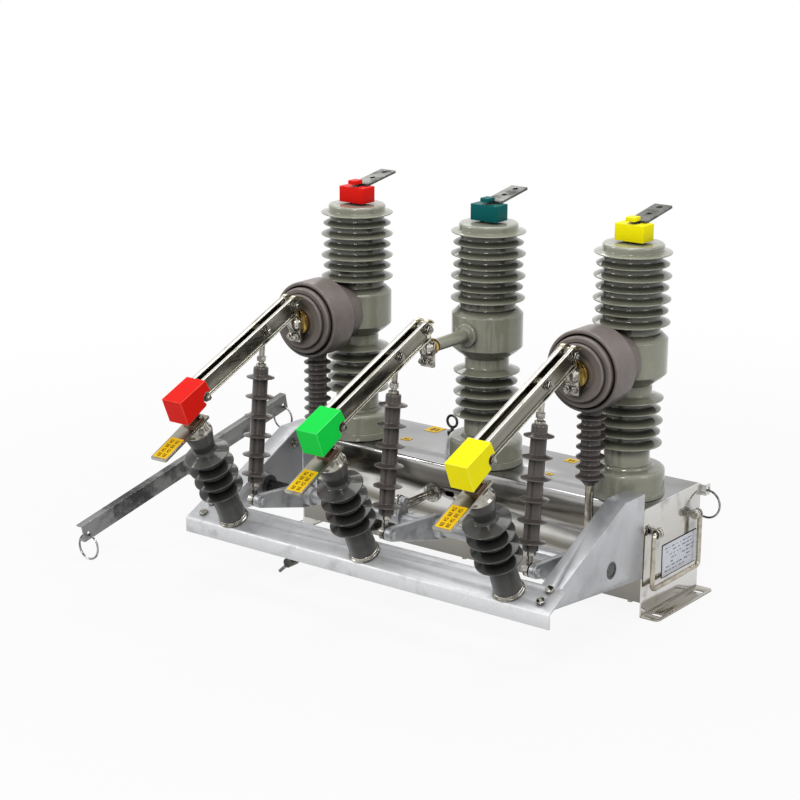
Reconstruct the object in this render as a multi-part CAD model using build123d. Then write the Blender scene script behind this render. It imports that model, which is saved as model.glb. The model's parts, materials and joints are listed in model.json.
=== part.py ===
from build123d import *
from math import cos, hypot, radians, sin, tan
import os

# Outdoor three-pole vacuum circuit breaker with a three-pole isolating knife switch on its front.
# X runs along the row of poles, the isolator is on the -Y side, Z is up.
# The origin is the centre of the four foot slots, on the underside of the feet. Millimetres.

# Whole machine
phase_pitch = 340.0
pole_y = -32.0
seat = 0.3
run_gap = 0.05
phases = {"left": -phase_pitch, "middle": 0.0, "right": phase_pitch}

# Tank of folded stainless sheet on two end plates with out-turned feet
tank_end_room = 91.0
tank_half_length = phase_pitch + tank_end_room
tank_half_depth = 111.0
tank_top = 223.5
tank_floor = 30.0
sheet = 2.0
fold_r = 6.0
end_plate_thick = 3.0
foot_width = 39.0
foot_corner_r = 10.0
slot_out = 20.0
slot_inset = 29.0
slot_x = tank_half_length + slot_out
slot_y = tank_half_depth - slot_inset
slot_width = 13.0
slot_length = 25.0
tank_lip = 16.0
screw_r = 3.0
screw_inset = 30.0
screw_count = 5
rod_hole_r = 28.0
hex_bolt_r = 5.0
hex_hole_r = 5.5
hex_head_r = 9.0
hex_head = 6.0
hex_nut = 8.0
screw_head_r = 6.0
screw_head = 4.0
cable_hole_x = -34.0
cable_hole_z = tank_top - 60.5
cable_hole_width = 24.0
cable_hole_height = 11.0

# Pole housings of cast resin
flange_half = 78.0
flange_thick = 14.0
flange_corner_r = 14.0
pole_foot_z = tank_top + seat + flange_thick
base_r = 76.5
base_height = 42.0
base_round = 7.0
base_step_r = 54.0
base_step = 7.0
lower_shank_r = 45.7
upper_shank_r = 57.5
shed_pitch = 22.95
lower_shed_first = pole_foot_z + 88.5
lower_shed_count = 5
lower_shed_r = (68.7, 64.2)
contact_z = pole_foot_z + 268.9
house_r = 73.5
house_low = contact_z - 34.7
house_high = contact_z + 34.3
house_neck = house_low - 22.0
house_bevel = 8.0
house_shoulder = 11.0
house_shoulder_step = 3.0
upper_shed_first = house_high + 29.7
upper_shed_count = 7
upper_shed_r = (76.3, 71.7)
shed_rise = 8.0
shed_rim = 1.6
shed_hollow = 1.5
pole_head_r = 60.5
pole_head_low = upper_shed_first + (upper_shed_count - 1) * shed_pitch + 5.6
pole_top = pole_head_low + 14.0
head_round = 4.0
chamber_r = 44.0
chamber_low = contact_z + 19.3
chamber_high = pole_top - 22.0
lower_bore_r = 26.0

# Vacuum interrupters and the rods that drive them
bottle_wall = 5.0
bottle_cap = 4.0
contact_r = 22.0
contact_thick = 6.0
contact_face_z = chamber_low + 80.0
stem_r = 10.0
stem_low = contact_z - 36.7
rod_r = 13.0
rod_low = tank_top + 38.5
clevis_r = 9.0
drive_pin_z = tank_top - 23.5
clevis_low = drive_pin_z - 12.0
drive_pin_r = 4.0
drive_pin_half = 20.0

# Conductors from the interrupters to the isolator hinges
collar_r = 22.0
collar_height = 30.0
bar_r = 14.0
brass_disc_r = 26.0
brass_disc_thick = 9.0
ct_back_y = pole_y - 109.0
ct_lip_y = ct_back_y - 67.0
hinge_face_y = ct_lip_y - 24.0
arm_r = 13.0
arm_end_y = hinge_face_y + 19.0
arm_flange_r = 24.0
arm_flange_thick = 6.0
arm_bar_r = 9.7
arm_disc_r = 17.0

# Current transformers on the outer poles
ct_r = 80.3
ct_lip_round = 2.0
ct_lip_width = 6.5
ct_groove_width = 3.5
ct_groove_depth = 9.0
ct_step = 10.0
ct_ring_r = 56.0
ct_ring_step = 8.0
ct_ring_flat = 6.0
ct_dish_r = 34.0
ct_neck_r = 60.0

# Lead bushings under the transformers and the conduits to the tank
bushing_y = ct_back_y - 27.0
bushing_top = contact_z - ct_r - 2.4
bushing_bottom = bushing_top - 152.0
bushing_r = 19.5
bushing_shed_r = 28.5
bushing_pitch = 20.0
bushing_sheds = 7
bushing_first = bushing_bottom + 17.0
bushing_tail_r = 11.0
bushing_pad_sink = 20.0
conduit_r = 8.5
conduit_entry_z = tank_top - 71.5
conduit_bend = 20.0

# Terminals on top of the poles
stud_r = 11.0
terminal_width = 40.0
terminal_thick = 5.0
terminal_rise = 10.0
terminal_back = 20.0
terminal_reach = 110.0
terminal_hole_r = 6.5
terminal_hole_end = 16.0
terminal_hole_pitch = 40.0
cap_width = 64.0
cap_depth = 42.0
cap_low = pole_top + 4.0
cap_top = cap_low + 33.0
cap_wall = 2.5
cap_boss_width = 20.0
cap_boss_depth = 26.0
cap_boss_height = 8.0
cap_boss_shift = 6.0

# Isolator blades: two channels back to back
pivot_y = hinge_face_y - 22.0
pivot_z = contact_z + 41.3
blade_slope = 22.8
blade_height = 41.0
blade_flange = 9.0
blade_wall = 2.5
blade_gap = 14.0
blade_length = 365.0
blade_heel = 5.0
pivot_pin_r = 5.0
link_pin_r = 5.0
pin_head_r = 9.0
pin_head = 6.0
pin_nut = 8.0
link_at = 94.0
cover_bolt_at = blade_length - 45.0
cover_bolt_drop = 10.0
cover_bolt_r = 4.0
cover_bolt_head_r = 7.5
hinge_block_half = 15.0
hinge_block_low = contact_z - 38.7
hinge_block_high = contact_z + 13.3
hinge_block_thick = 9.0
hinge_bolt_z = contact_z - 27.2
hinge_bolt_x = 8.0
hinge_head_r = 16.0
hinge_root = 12.0
hinge_nut_r = 7.3
hinge_nut = 7.0
hinge_stud_r = 4.0
hinge_stud = 12.0

# Coloured covers over the blade tips
cover_back = blade_length - 67.0
cover_front = blade_length + 17.0
cover_wall = 2.5
cover_high = blade_height / 2 + seat + cover_wall
cover_low = -28.0
cover_half = 25.0
cover_lean = 5.0
cover_slant = 3.0
cover_notch_r = 14.0

# Support insulators and the lower contacts
post_tilt = 26.0
post_ring_r = 31.0
post_ring_height = 10.0
post_foot_r = 28.0
post_neck_r = 22.0
post_core_r = 27.0
post_shed_r = 46.3
post_shed_first = 82.0
post_shed_pitch = 30.0
post_sheds = 4
post_shed_rise = 12.0
post_shed_under = 6.0
post_head_r = 30.0
post_neck_top = 190.0
post_height = 230.0
pedestal_height = 20.0
pedestal_edge = 4.0
pedestal_top_r = 24.0
lower_bar_front = 116.0
lower_bar_back = 26.0
lower_bar_thick = 5.0
lower_bar_chamfer = 2.0
tongue_length = 34.0
tongue_top = 6.0
tongue_from_tip = 2.0
tongue_drop = 8.0
tongue_foot_thick = 5.0
tongue_foot_half = 15.0

# Front beam and its side brackets
beam_half_length = tank_half_length + 16.0
beam_behind_tip = 122.5
beam_below_tip = 284.5
beam_bend_y = pivot_y - blade_length * cos(radians(blade_slope)) + beam_behind_tip
beam_bend_z = pivot_z - blade_length * sin(radians(blade_slope)) - beam_below_tip
beam_top_width = 66.0
beam_lip = 30.0
beam_sheet = 4.0
beam_bend_r = 7.0
beam_corner = 14.0
post_on_beam = 31.0
bracket_sheet = 4.0
bracket_flange = 43.0
bracket_top_depth = 72.0
bracket_rear_low = 82.0
bracket_front_y = beam_bend_y + 28.0
bracket_toe = 16.0
beam_bolt_x = tank_half_length - 15.0
beam_bolt_at = (23.0, 55.0)
post_stud_r = 5.0
post_head_bolt_r = 10.0

# Isolator shaft, cranks, pull rods and hand lever
shaft_y = -tank_half_depth - 116.0
shaft_z = tank_top - 90.5
shaft_r = 13.5
bush_r = 17.3
bush_flange_r = 22.0
bush_flange = 3.0
crank_y = shaft_y - 149.0
crank_z = shaft_z + 25.0
crank_thick = 13.0
crank_offset = 8.0
crank_hub_r = 27.0
crank_eye_r = 14.0
crank_pin_r = 4.0
crank_pin_nut = 5.0
crank_round = 2.0
crank_nut_r = 8.5
crank_nut = 6.0
hub_r = 20.0
hub_length = 30.0
link_body_r = 15.5
link_body_top = 76.0
link_body_bottom = 318.0
link_sheds = 6
link_shed_r = 29.0
link_shed_first = 98.0
link_shed_pitch = 40.5
link_shed_thick = 5.0
link_stem_r = 6.0
link_nut_r = 10.0
link_nut = 10.0
link_nut_from_body = 22.0
link_ferrule = 8.0
link_eye_r = 11.0
link_eye_thick = 13.4
link_foot_eye_r = 13.5
link_foot_slack = 3.0
link_foot_thick = 10.0
lever_x = -tank_half_length - 231.0
lever_tilt = 12.3
lever_front = 334.0
lever_rear = 344.0
lever_height = 38.0
lever_flange = 17.0
lever_sheet = 3.0
lever_hub_r = 20.0
lever_hub = 24.0
lever_nut_r = 13.0
lever_nut = 9.0
ring_r = 27.0
ring_wire_r = 2.3
ring_hole_r = 5.0
ring_hole_from_tip = 14.0
ring_hole_drop = 5.0

# Interlock between the isolator shaft and the tank
interlock_x = -77.0
interlock_arm = 39.0
interlock_pin_r = 4.0
interlock_rod_r = 7.5
interlock_rod_z = shaft_z + 25.0
interlock_slot = 8.0
interlock_guide_r = 20.0
interlock_guide = 6.0
interlock_plate = 6.0
interlock_inside = 30.0
interlock_offset = 26.0
interlock_eye_r = 11.0
interlock_end_r = 9.0
interlock_play = 1.4

# Manual trip shaft under the front beam
trip_x = -236.0
trip_z = tank_floor + 18.0
trip_r = 8.0
trip_hub_r = 10.0
trip_hub = 26.0
trip_front_y = beam_bend_y + 72.0
trip_handle_r = 3.5
trip_handle = 56.0
trip_handle_back = 14.0
trip_handle_angle = 42.0

# Drive inside the tank
main_y = 12.0
main_z = drive_pin_z
main_r = 11.0
main_half = phase_pitch + 32.0
main_plate = 5.0
main_plate_x = 14.0
main_hub_r = 17.0
main_eye_r = 11.0
main_slot = 3.0
frame_x = 205.0
frame_y = (-40.0, 60.0)
frame_plate = 4.0
frame_above_shaft = 18.0
spring_can_r = 20.0
spring_can_y = 30.0
spring_can_z = 100.0

# Carrying handles on the end plates
handle_x = tank_half_length + 15.0
handle_z = tank_top - 52.5
handle_y = (-tank_half_depth + 28.0, tank_half_depth - 39.5)
handle_spread = 14.0
handle_drop = 113.0
handle_wire_r = 5.0
handle_eye_r = 9.5
handle_eye_length = 12.0
handle_eye_root = 5.0
handle_bend = 12.0

# Pull ring at the rear right corner
pull_ring_r = 29.0
pull_ring_wire_r = 2.3
pull_lug_x = tank_half_length + 12.0
pull_lug_z = tank_top - 14.5
pull_lug_thick = 3.0
pull_lug_below = 12.0
pull_lug_above = 10.0
pull_lug_lap = 30.0
pull_lug_reach = 18.0
pull_hole_out = 10.0

# Lifting eye on the tank, behind the middle pole
eye_x = -172.0
eye_y = 88.0
eye_r = 13.0
eye_wire_r = 3.0
eye_stem = 8.0
eye_foot_r = 11.0
eye_foot = 5.0


def lathe(points):
    """Solid of revolution about Z from a closed outline of (radius, height) points."""
    outline = make_face(Polyline(*points, close=True).edges())
    return revolve(Plane.XZ * outline, axis=Axis.Z)


def turned(solid, origin, z_dir, x_dir=(1, 0, 0)):
    """Stand a solid that was made along Z on a point, along another direction."""
    return Plane(origin=origin, x_dir=x_dir, z_dir=z_dir).location * solid


def side_plate(face, x_low, x_high):
    """Extrude an outline of (y, z) points between two planes of constant X."""
    return extrude(Plane.YZ.offset(x_low) * face, amount=x_high - x_low, dir=(1, 0, 0))


def polygon(*points):
    return make_face(Polyline(*points, close=True).edges())


def disc_at(center, radius):
    return Pos(center[0], center[1]) * Circle(radius)


def arm_outline(start, start_r, end, end_r):
    """Outline of a lever with two round ends."""
    return make_hull((disc_at(start, start_r) + disc_at(end, end_r)).edges())


def bar_x(radius, x_low, x_high, y, z):
    """Round bar along X."""
    return Pos((x_low + x_high) / 2, y, z) * Rot(0, 90, 0) * Cylinder(radius, x_high - x_low)


def bar_y(radius, y_low, y_high, x, z):
    """Round bar along Y."""
    return Pos(x, (y_low + y_high) / 2, z) * Rot(90, 0, 0) * Cylinder(radius, y_high - y_low)


def block(x_span, y_span, z_span):
    low = (x_span[0], y_span[0], z_span[0])
    size = (x_span[1] - x_span[0], y_span[1] - y_span[0], z_span[1] - z_span[0])
    return Pos(*low) * Box(*size, align=(Align.MIN, Align.MIN, Align.MIN))


def hex_prism(across_corners_r, height):
    return extrude(RegularPolygon(across_corners_r, 6), amount=height)


def cross_bolt(radius, grip, head_r, head, nut):
    """Bolt along Z with a hexagon head above its grip and a nut below it."""
    shank = Cylinder(radius, grip + 0.8 * nut)
    top = Pos(0, 0, grip / 2) * hex_prism(head_r, head)
    bottom = Pos(0, 0, -grip / 2 - nut) * hex_prism(head_r, nut)
    return shank + top + bottom


def along_x(solid, x, y, z):
    return turned(solid, (x, y, z), (1, 0, 0), (0, 1, 0))


def sheds(root_r, rim_radii, first, pitch, count, rise, under, rim=0.0):
    """Outline points of a stack of sheds from the lowest up, big and small in turn."""
    points = []
    for index in range(count):
        rim_z = first + index * pitch
        rim_r = rim_radii[index % len(rim_radii)]
        points.append((root_r, rim_z + under))
        points.append((rim_r, rim_z))
        if rim > 0:
            points.append((rim_r, rim_z + rim))
        points.append((root_r, rim_z + rise))
    return points


def blade_point(along, above):
    """Point (y, z) at a distance along the closed blade and above its centre line."""
    slope = radians(blade_slope)
    y = pivot_y - along * cos(slope) - above * sin(slope)
    z = pivot_z - along * sin(slope) + above * cos(slope)
    return y, z


def beam_point(along, above):
    """Point (y, z) at a distance up the sloping top of the beam and above it."""
    slope = radians(post_tilt)
    y = beam_bend_y + along * cos(slope) - above * sin(slope)
    z = beam_bend_z + along * sin(slope) + above * cos(slope)
    return y, z


def post_point(height, forward=0.0):
    """Point (y, z) up a support insulator and in front of its axis."""
    return beam_point(post_on_beam - forward, height)


# Tank

def tank_shell():
    """Top, front and back in one folded sheet with in-turned lips at the bottom."""
    depth = 2 * tank_half_depth
    low = tank_floor + sheet + seat
    height = tank_top - low
    middle = (tank_top + low) / 2
    outer = Pos(0, middle) * Rectangle(depth, height)
    outer = fillet(outer.vertices().group_by(Axis.Y)[-1], fold_r)
    inner = Pos(0, middle) * Rectangle(depth - 2 * sheet, height - 2 * sheet)
    inner = fillet(inner.vertices().group_by(Axis.Y)[-1], fold_r - sheet)
    mouth = Pos(0, low) * Rectangle(depth - 2 * tank_lip, 4 * sheet)
    half = tank_half_length - end_plate_thick
    shell = side_plate(outer - inner - mouth, -half, half)
    for x in phases.values():
        shell -= Pos(x, pole_y, tank_top) * Cylinder(rod_hole_r, 6 * sheet)
    shell -= bar_y(interlock_rod_r + run_gap, -tank_half_depth - sheet, -tank_half_depth + 3 * sheet,
                   interlock_x, interlock_rod_z)
    shell -= bar_y(trip_r + run_gap, -tank_half_depth - sheet, -tank_half_depth + 3 * sheet, trip_x, trip_z)
    for x in (phases["left"], phases["right"]):
        shell -= bar_y(conduit_r + seat, -tank_half_depth - sheet, -tank_half_depth + 3 * sheet,
                       x, conduit_entry_z)
    for x, y in cover_screw_places():
        shell -= Pos(x, y, low) * Cylinder(screw_r + seat, 4 * sheet)
    cable = extrude(SlotOverall(cable_hole_width, cable_hole_height), 3 * sheet, both=True)
    shell -= Pos(cable_hole_x, -tank_half_depth, cable_hole_z) * Rot(90, 0, 0) * cable
    return shell + interlock_guide_ring() + lifting_eye()


def interlock_guide_ring():
    """Flange on the front of the tank that the interlock rod slides through."""
    front = -tank_half_depth
    ring = bar_y(interlock_guide_r, front - interlock_guide, front + 0.5 * sheet,
                 interlock_x, interlock_rod_z)
    return ring - bar_y(interlock_rod_r + run_gap, front - interlock_guide - 1, front + 2 * sheet,
                        interlock_x, interlock_rod_z)


def lifting_eye():
    """Eye on a round foot that stands on the top of the tank."""
    foot = Pos(0, 0, (eye_foot - sheet) / 2) * Cylinder(eye_foot_r, eye_foot + sheet)
    stem = Pos(0, 0, eye_foot + eye_stem / 2) * Cylinder(eye_wire_r + 1, eye_stem)
    loop = Pos(0, 0, eye_foot + eye_stem + eye_r) * Rot(90, 0, 0) * Torus(eye_r, eye_wire_r)
    return Pos(eye_x, eye_y, tank_top) * (foot + stem + loop)


def bottom_cover():
    """Flat sheet screwed under the lips of the tank."""
    half_length = tank_half_length - end_plate_thick - seat
    half_depth = tank_half_depth - sheet
    cover = block((-half_length, half_length), (-half_depth, half_depth), (tank_floor, tank_floor + sheet))
    for x, y in cover_screw_places():
        cover -= Pos(x, y, tank_floor) * Cylinder(screw_r + seat, 4 * sheet)
    return cover


def cover_screw_places():
    """Points (x, y) of the screws that hold the bottom cover."""
    span = 2 * (tank_half_length - screw_inset)
    xs = [-span / 2 + span * index / (screw_count - 1) for index in range(screw_count)]
    return [(x, y) for y in (-tank_half_depth + tank_lip / 2, tank_half_depth - tank_lip / 2) for x in xs]


def end_plate(side):
    """End plate with its out-turned foot, its handle eyes and, on the right, the ring lug."""
    inner_x = tank_half_length - end_plate_thick
    wall = Pos(0, tank_top / 2) * Rectangle(2 * tank_half_depth, tank_top)
    wall = fillet(wall.vertices().group_by(Axis.Y)[-1], fold_r)
    plate = side_plate(wall, inner_x, tank_half_length)
    foot = block((tank_half_length, tank_half_length + foot_width), (-tank_half_depth, tank_half_depth),
                 (0, end_plate_thick))
    corners = foot.edges().filter_by(Axis.Z).group_by(Axis.X)[-1]
    plate += fillet(corners, foot_corner_r)
    root = plate.edges().filter_by(Axis.Y).group_by(Axis.Z)[0].sort_by(Axis.X)[0]
    plate = fillet(root, end_plate_thick - 0.2)
    for y in (-slot_y, slot_y):
        slot = extrude(SlotOverall(slot_length, slot_width), 2 * end_plate_thick, both=True)
        plate -= Pos(slot_x, y, 0) * slot
    for y, way in ((handle_y[0], 1), (handle_y[1], -1)):
        plate += handle_eye(y, way)
    if side > 0:
        plate += ring_lug()
        return plate
    return mirror(plate, Plane.YZ)


def handle_eye(y, way):
    """Welded eye that one end of the handle turns in; its bore runs along Y."""
    low, high = sorted((y, y + way * handle_eye_length))
    barrel = bar_y(handle_eye_r, low, high, handle_x, handle_z)
    root_z = (handle_z - handle_eye_root, handle_z + handle_eye_root)
    root = block((tank_half_length, handle_x), (low, high), root_z)
    bore = bar_y(handle_wire_r + run_gap, low - 1, high + 1, handle_x, handle_z)
    return barrel + root - bore


def ring_lug():
    """Angle at the rear corner with the hole that the pull ring hangs in."""
    low = pull_lug_z - pull_lug_below
    high = pull_lug_z + pull_lug_above
    back = tank_half_depth
    base = block((tank_half_length - pull_lug_lap, pull_lug_x), (back, back + pull_lug_thick), (low, high))
    lug = block((pull_lug_x - pull_lug_thick, pull_lug_x), (back, back + pull_lug_reach), (low, high))
    hole = bar_x(ring_hole_r, pull_lug_x - 2 * pull_lug_thick, pull_lug_x + pull_lug_thick,
                 back + pull_hole_out, pull_lug_z)
    tie_x = (tank_half_length - end_plate_thick, tank_half_length)
    tie = block(tie_x, (back - 2 * sheet, back + 0.5 * sheet), (low, high))
    return base + lug + tie - hole


# Poles

def pole(x, side):
    """Cast resin housing: square foot, shedded shanks and the contact housing between them."""
    foot_top = pole_foot_z
    base_top = foot_top + base_height
    step_top = base_top + base_step
    outline = [(0, foot_top - 1), (base_r, foot_top - 1), (base_r, base_top - base_round)]
    outline += [(base_r - base_round, base_top), (base_step_r, base_top), (base_step_r, step_top)]
    outline += [(lower_shank_r, step_top)]
    outline += sheds(lower_shank_r, lower_shed_r, lower_shed_first, shed_pitch, lower_shed_count,
                     shed_rise, shed_hollow, shed_rim)
    outline += [(lower_shank_r, house_neck), (house_r - house_bevel, house_low - house_bevel)]
    outline += [(house_r, house_low), (house_r, house_high)]
    outline += [(upper_shank_r + house_shoulder_step, house_high + house_shoulder)]
    outline += [(upper_shank_r, house_high + house_shoulder)]
    outline += sheds(upper_shank_r, upper_shed_r, upper_shed_first, shed_pitch, upper_shed_count - 1,
                     shed_rise, shed_hollow, shed_rim)
    last = upper_shed_first + (upper_shed_count - 1) * shed_pitch
    outline += [(upper_shank_r, last + shed_hollow), (upper_shed_r[0], last)]
    outline += [(upper_shed_r[0], last + shed_rim), (pole_head_r, pole_head_low)]
    outline += [(pole_head_r, pole_top - head_round), (pole_head_r - head_round, pole_top), (0, pole_top)]
    body = lathe(outline)
    foot = Rectangle(2 * flange_half, 2 * flange_half)
    foot = extrude(fillet(foot.vertices(), flange_corner_r), amount=flange_thick)
    body += Pos(0, 0, tank_top + seat) * foot
    if side == "middle":
        body += bar_y(arm_r, arm_end_y - pole_y, 0, 0, contact_z)
        face = -house_r - arm_flange_thick
        body += bar_y(arm_flange_r, face, 0, 0, contact_z)
    cavity = lathe([(0, tank_top - 1), (lower_bore_r, tank_top - 1), (lower_bore_r, chamber_low),
                    (chamber_r + seat, chamber_low), (chamber_r + seat, chamber_high),
                    (stud_r + seat, chamber_high), (stud_r + seat, pole_top + 1), (0, pole_top + 1)])
    body -= cavity
    hole_r = arm_bar_r if side == "middle" else bar_r
    reach = arm_end_y - pole_y if side == "middle" else -house_r
    body -= bar_y(hole_r + seat, reach - 1, 0, 0, contact_z)
    return Pos(x, pole_y, 0) * body


def interrupter(x):
    """Vacuum bottle with its fixed contact; the moving stem enters from below."""
    low = chamber_low + seat
    high = chamber_high - seat
    inner = chamber_r - bottle_wall
    shell = lathe([(stem_r + run_gap, low), (chamber_r, low), (chamber_r, high), (0, high),
                   (0, high - bottle_cap), (inner, high - bottle_cap), (inner, low + bottle_cap),
                   (stem_r + run_gap, low + bottle_cap)])
    top = high - bottle_cap
    fixed = lathe([(0, contact_face_z), (contact_r, contact_face_z),
                   (contact_r, contact_face_z + contact_thick), (stem_r, contact_face_z + contact_thick),
                   (stem_r, top), (0, top)])
    return Pos(x, pole_y, 0) * Compound([shell, fixed])


def drive_rod(x):
    """Moving contact and stem, insulating rod and steel foot with the cross pin."""
    face = contact_face_z - seat
    stem = lathe([(0, stem_low), (stem_r, stem_low), (stem_r, face - contact_thick),
                  (contact_r, face - contact_thick), (contact_r, face), (0, face)])
    insulator = Pos(0, 0, (stem_low + rod_low) / 2) * Cylinder(rod_r, stem_low - rod_low)
    foot = Pos(0, 0, (rod_low + clevis_low) / 2) * Cylinder(clevis_r, rod_low - clevis_low)
    foot += bar_x(drive_pin_r, -drive_pin_half, drive_pin_half, 0, drive_pin_z)
    return Pos(x, pole_y, 0) * Compound([stem, insulator, foot])


def conductor(x, side):
    """Sliding collar round the stem and the bar that leads to the isolator hinge."""
    middle = side == "middle"
    radius = arm_bar_r if middle else bar_r
    disc_r = arm_disc_r if middle else brass_disc_r
    body = Pos(x, pole_y, contact_z) * Cylinder(collar_r, collar_height)
    body += bar_y(radius, hinge_face_y + brass_disc_thick, pole_y, x, contact_z)
    body += bar_y(disc_r, hinge_face_y, hinge_face_y + brass_disc_thick, x, contact_z)
    return body - Pos(x, pole_y, contact_z) * Cylinder(stem_r + run_gap, 2 * collar_height)


def top_terminal(x):
    """Stud out of the pole head through the cap, with the flat connection bar on its end."""
    low = cap_top + seat
    high = low + terminal_thick
    stud = Pos(0, 0, (chamber_high + low) / 2 + 1) * Cylinder(stud_r, low - chamber_high + 2)
    rise = radians(terminal_rise)
    bend = cap_depth / 2 - 1
    tip_y = terminal_reach
    run = tip_y - bend
    tip_z = run * sin(rise)
    shape = polygon((-terminal_back, low), (bend, low), (tip_y, low + tip_z),
                    (tip_y - terminal_thick * sin(rise), high + tip_z), (bend - 0.4, high),
                    (-terminal_back, high))
    bar = side_plate(shape, -terminal_width / 2, terminal_width / 2)
    for back in (terminal_hole_end, terminal_hole_end + terminal_hole_pitch):
        along = run - back
        place = Pos(0, bend + along * cos(rise), low + along * sin(rise)) * Rot(terminal_rise, 0, 0)
        bar -= place * Cylinder(terminal_hole_r, 6 * terminal_thick)
    return Pos(x, pole_y, 0) * (stud + bar)


def box_shell(width, depth, height, wall):
    """Thin moulded box that is open below."""
    align = (Align.CENTER, Align.CENTER, Align.MIN)
    outer = Box(width, depth, height, align=align)
    outer = fillet(outer.edges().filter_by(Axis.Z), wall)
    return outer - Box(width - 2 * wall, depth - 2 * wall, height - wall, align=align)


def top_cap(x):
    """Moulded cap under the terminal bar, and the small cover over the bolt on the bar."""
    body = box_shell(cap_width, cap_depth, cap_top - cap_low, cap_wall)
    body -= Pos(0, 0, cap_top - cap_low) * Cylinder(stud_r + seat, 4 * cap_wall)
    boss = box_shell(cap_boss_width, cap_boss_depth, cap_boss_height, cap_wall)
    boss_z = cap_top - cap_low + terminal_thick + 2 * seat
    return Pos(x, pole_y, cap_low) * Compound([body, Pos(0, -cap_boss_shift, boss_z) * boss])


# Transformers, bushings and conduits

def current_transformer(x):
    """Ring transformer moulded round the conductor, with a stepped front and a pad for its bushing."""
    lip = -ct_lip_y
    groove = ct_r - ct_lip_width
    step_r = groove - ct_groove_width
    front = lip + ct_step
    ring = front + ct_ring_step
    floor = -hinge_face_y - brass_disc_thick - seat
    body = lathe([(bar_r + seat, -pole_y), (ct_neck_r, -pole_y), (ct_neck_r, -ct_back_y), (ct_r, -ct_back_y),
                  (ct_r, lip - ct_lip_round), (ct_r - ct_lip_round, lip), (groove, lip),
                  (groove, lip - ct_groove_depth), (step_r, lip - ct_groove_depth), (step_r, front),
                  (ct_ring_r, front), (ct_ring_r, ring), (ct_ring_r - ct_ring_flat, ring),
                  (ct_dish_r, floor), (bar_r + seat, floor)])
    body = turned(body, (0, 0, contact_z), (0, -1, 0))
    pad_top = contact_z - ct_r + bushing_pad_sink
    body += Pos(0, bushing_y, (bushing_top + pad_top) / 2) * Cylinder(bushing_r + 1, pad_top - bushing_top)
    body -= Pos(0, pole_y, contact_z) * Cylinder(house_r + seat, 4 * ct_r)
    return Pos(x, 0, 0) * body


def ct_bushings():
    """Shedded lead bushings, one under each transformer."""
    top = bushing_top - seat
    rims = sheds(bushing_r, (bushing_shed_r,), bushing_first, bushing_pitch, bushing_sheds,
                 0.5 * bushing_pitch, -0.4 * bushing_pitch)
    outline = [(0, bushing_bottom), (bushing_tail_r, bushing_bottom)] + rims
    outline += [(bushing_r, top), (0, top)]
    one = lathe(outline)
    return Compound([Pos(phases[side], bushing_y, 0) * one for side in ("left", "right")])


def ct_conduits():
    """Metal conduits that take the leads down and back into the tank."""
    top = bushing_bottom - seat
    low = conduit_entry_z
    path = FilletPolyline((0, bushing_y, top), (0, bushing_y, low), (0, -tank_half_depth + sheet, low),
                          radius=conduit_bend)
    one = sweep(Plane(origin=(0, bushing_y, top), z_dir=(0, 0, -1)) * Circle(conduit_r), path=path)
    return Compound([Pos(phases[side], 0, 0) * one for side in ("left", "right")])


# Isolator blades and contacts

def hinge(x):
    """Hinge terminal bolted to the conductor, with the tongue that the blade turns on."""
    back = hinge_face_y - seat
    front = back - hinge_block_thick
    half = blade_gap / 2 - seat
    body = block((-hinge_block_half, hinge_block_half), (front, back), (hinge_block_low, hinge_block_high))
    root = (back - hinge_root, hinge_bolt_z + 2 * hinge_root)
    tongue = arm_outline((pivot_y, pivot_z), hinge_head_r, root, hinge_root - run_gap)
    body += side_plate(tongue, -half, half)
    body -= bar_x(pivot_pin_r + run_gap, -half - 1, half + 1, pivot_y, pivot_z)
    for offset in (-hinge_bolt_x, hinge_bolt_x):
        nut = turned(hex_prism(hinge_nut_r, hinge_nut), (offset, front, hinge_bolt_z), (0, -1, 0))
        stud = bar_y(hinge_stud_r, front - hinge_stud, front, offset, hinge_bolt_z)
        body += nut + stud
    return Pos(x, 0, 0) * body


def blade(x):
    """Pair of channels back to back, with the pivot pin, the link pin and the cover bolt."""
    half = blade_height / 2
    slab = Pos(blade_length / 2, 0) * Rectangle(blade_length, blade_height)
    web = slab + Circle(half)
    full = Pos((blade_length + blade_heel) / 2, 0) * Rectangle(blade_length - blade_heel, blade_height)
    hollow = Pos(blade_length / 2, 0) * Rectangle(blade_length + 2, blade_height - 2 * blade_wall)
    inner = blade_gap / 2
    frame = Plane(origin=(0, pivot_y, pivot_z), x_dir=(0, *unit(-1, blade_slope)), z_dir=(1, 0, 0))
    one = extrude(frame.offset(inner) * web, amount=blade_wall, dir=(1, 0, 0))
    one += extrude(frame.offset(inner) * (full - hollow), amount=blade_flange, dir=(1, 0, 0))
    link = blade_point(link_at, 0)
    bolt = blade_point(cover_bolt_at, -cover_bolt_drop)
    grip = blade_gap + 2 * blade_wall
    for (y, z), radius in (((pivot_y, pivot_z), pivot_pin_r), (link, link_pin_r), (bolt, cover_bolt_r)):
        one -= bar_x(radius, inner - 1, inner + blade_wall + 1, y, z)
    pins = [along_x(cross_bolt(pivot_pin_r, grip, pin_head_r, pin_head, pin_nut), 0, pivot_y, pivot_z),
            along_x(cross_bolt(link_pin_r, grip, pin_head_r, pin_head, pin_nut), 0, link[0], link[1]),
            along_x(cross_bolt(cover_bolt_r, grip, cover_bolt_head_r, pin_nut, pin_nut), 0, bolt[0], bolt[1])]
    return Pos(x, 0, 0) * Compound([one, mirror(one, Plane.YZ)] + pins)


def unit(way, slope):
    """Direction (y, z) forward and down by a slope in degrees, or its reverse."""
    return way * cos(radians(slope)), way * sin(radians(slope))


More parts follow.
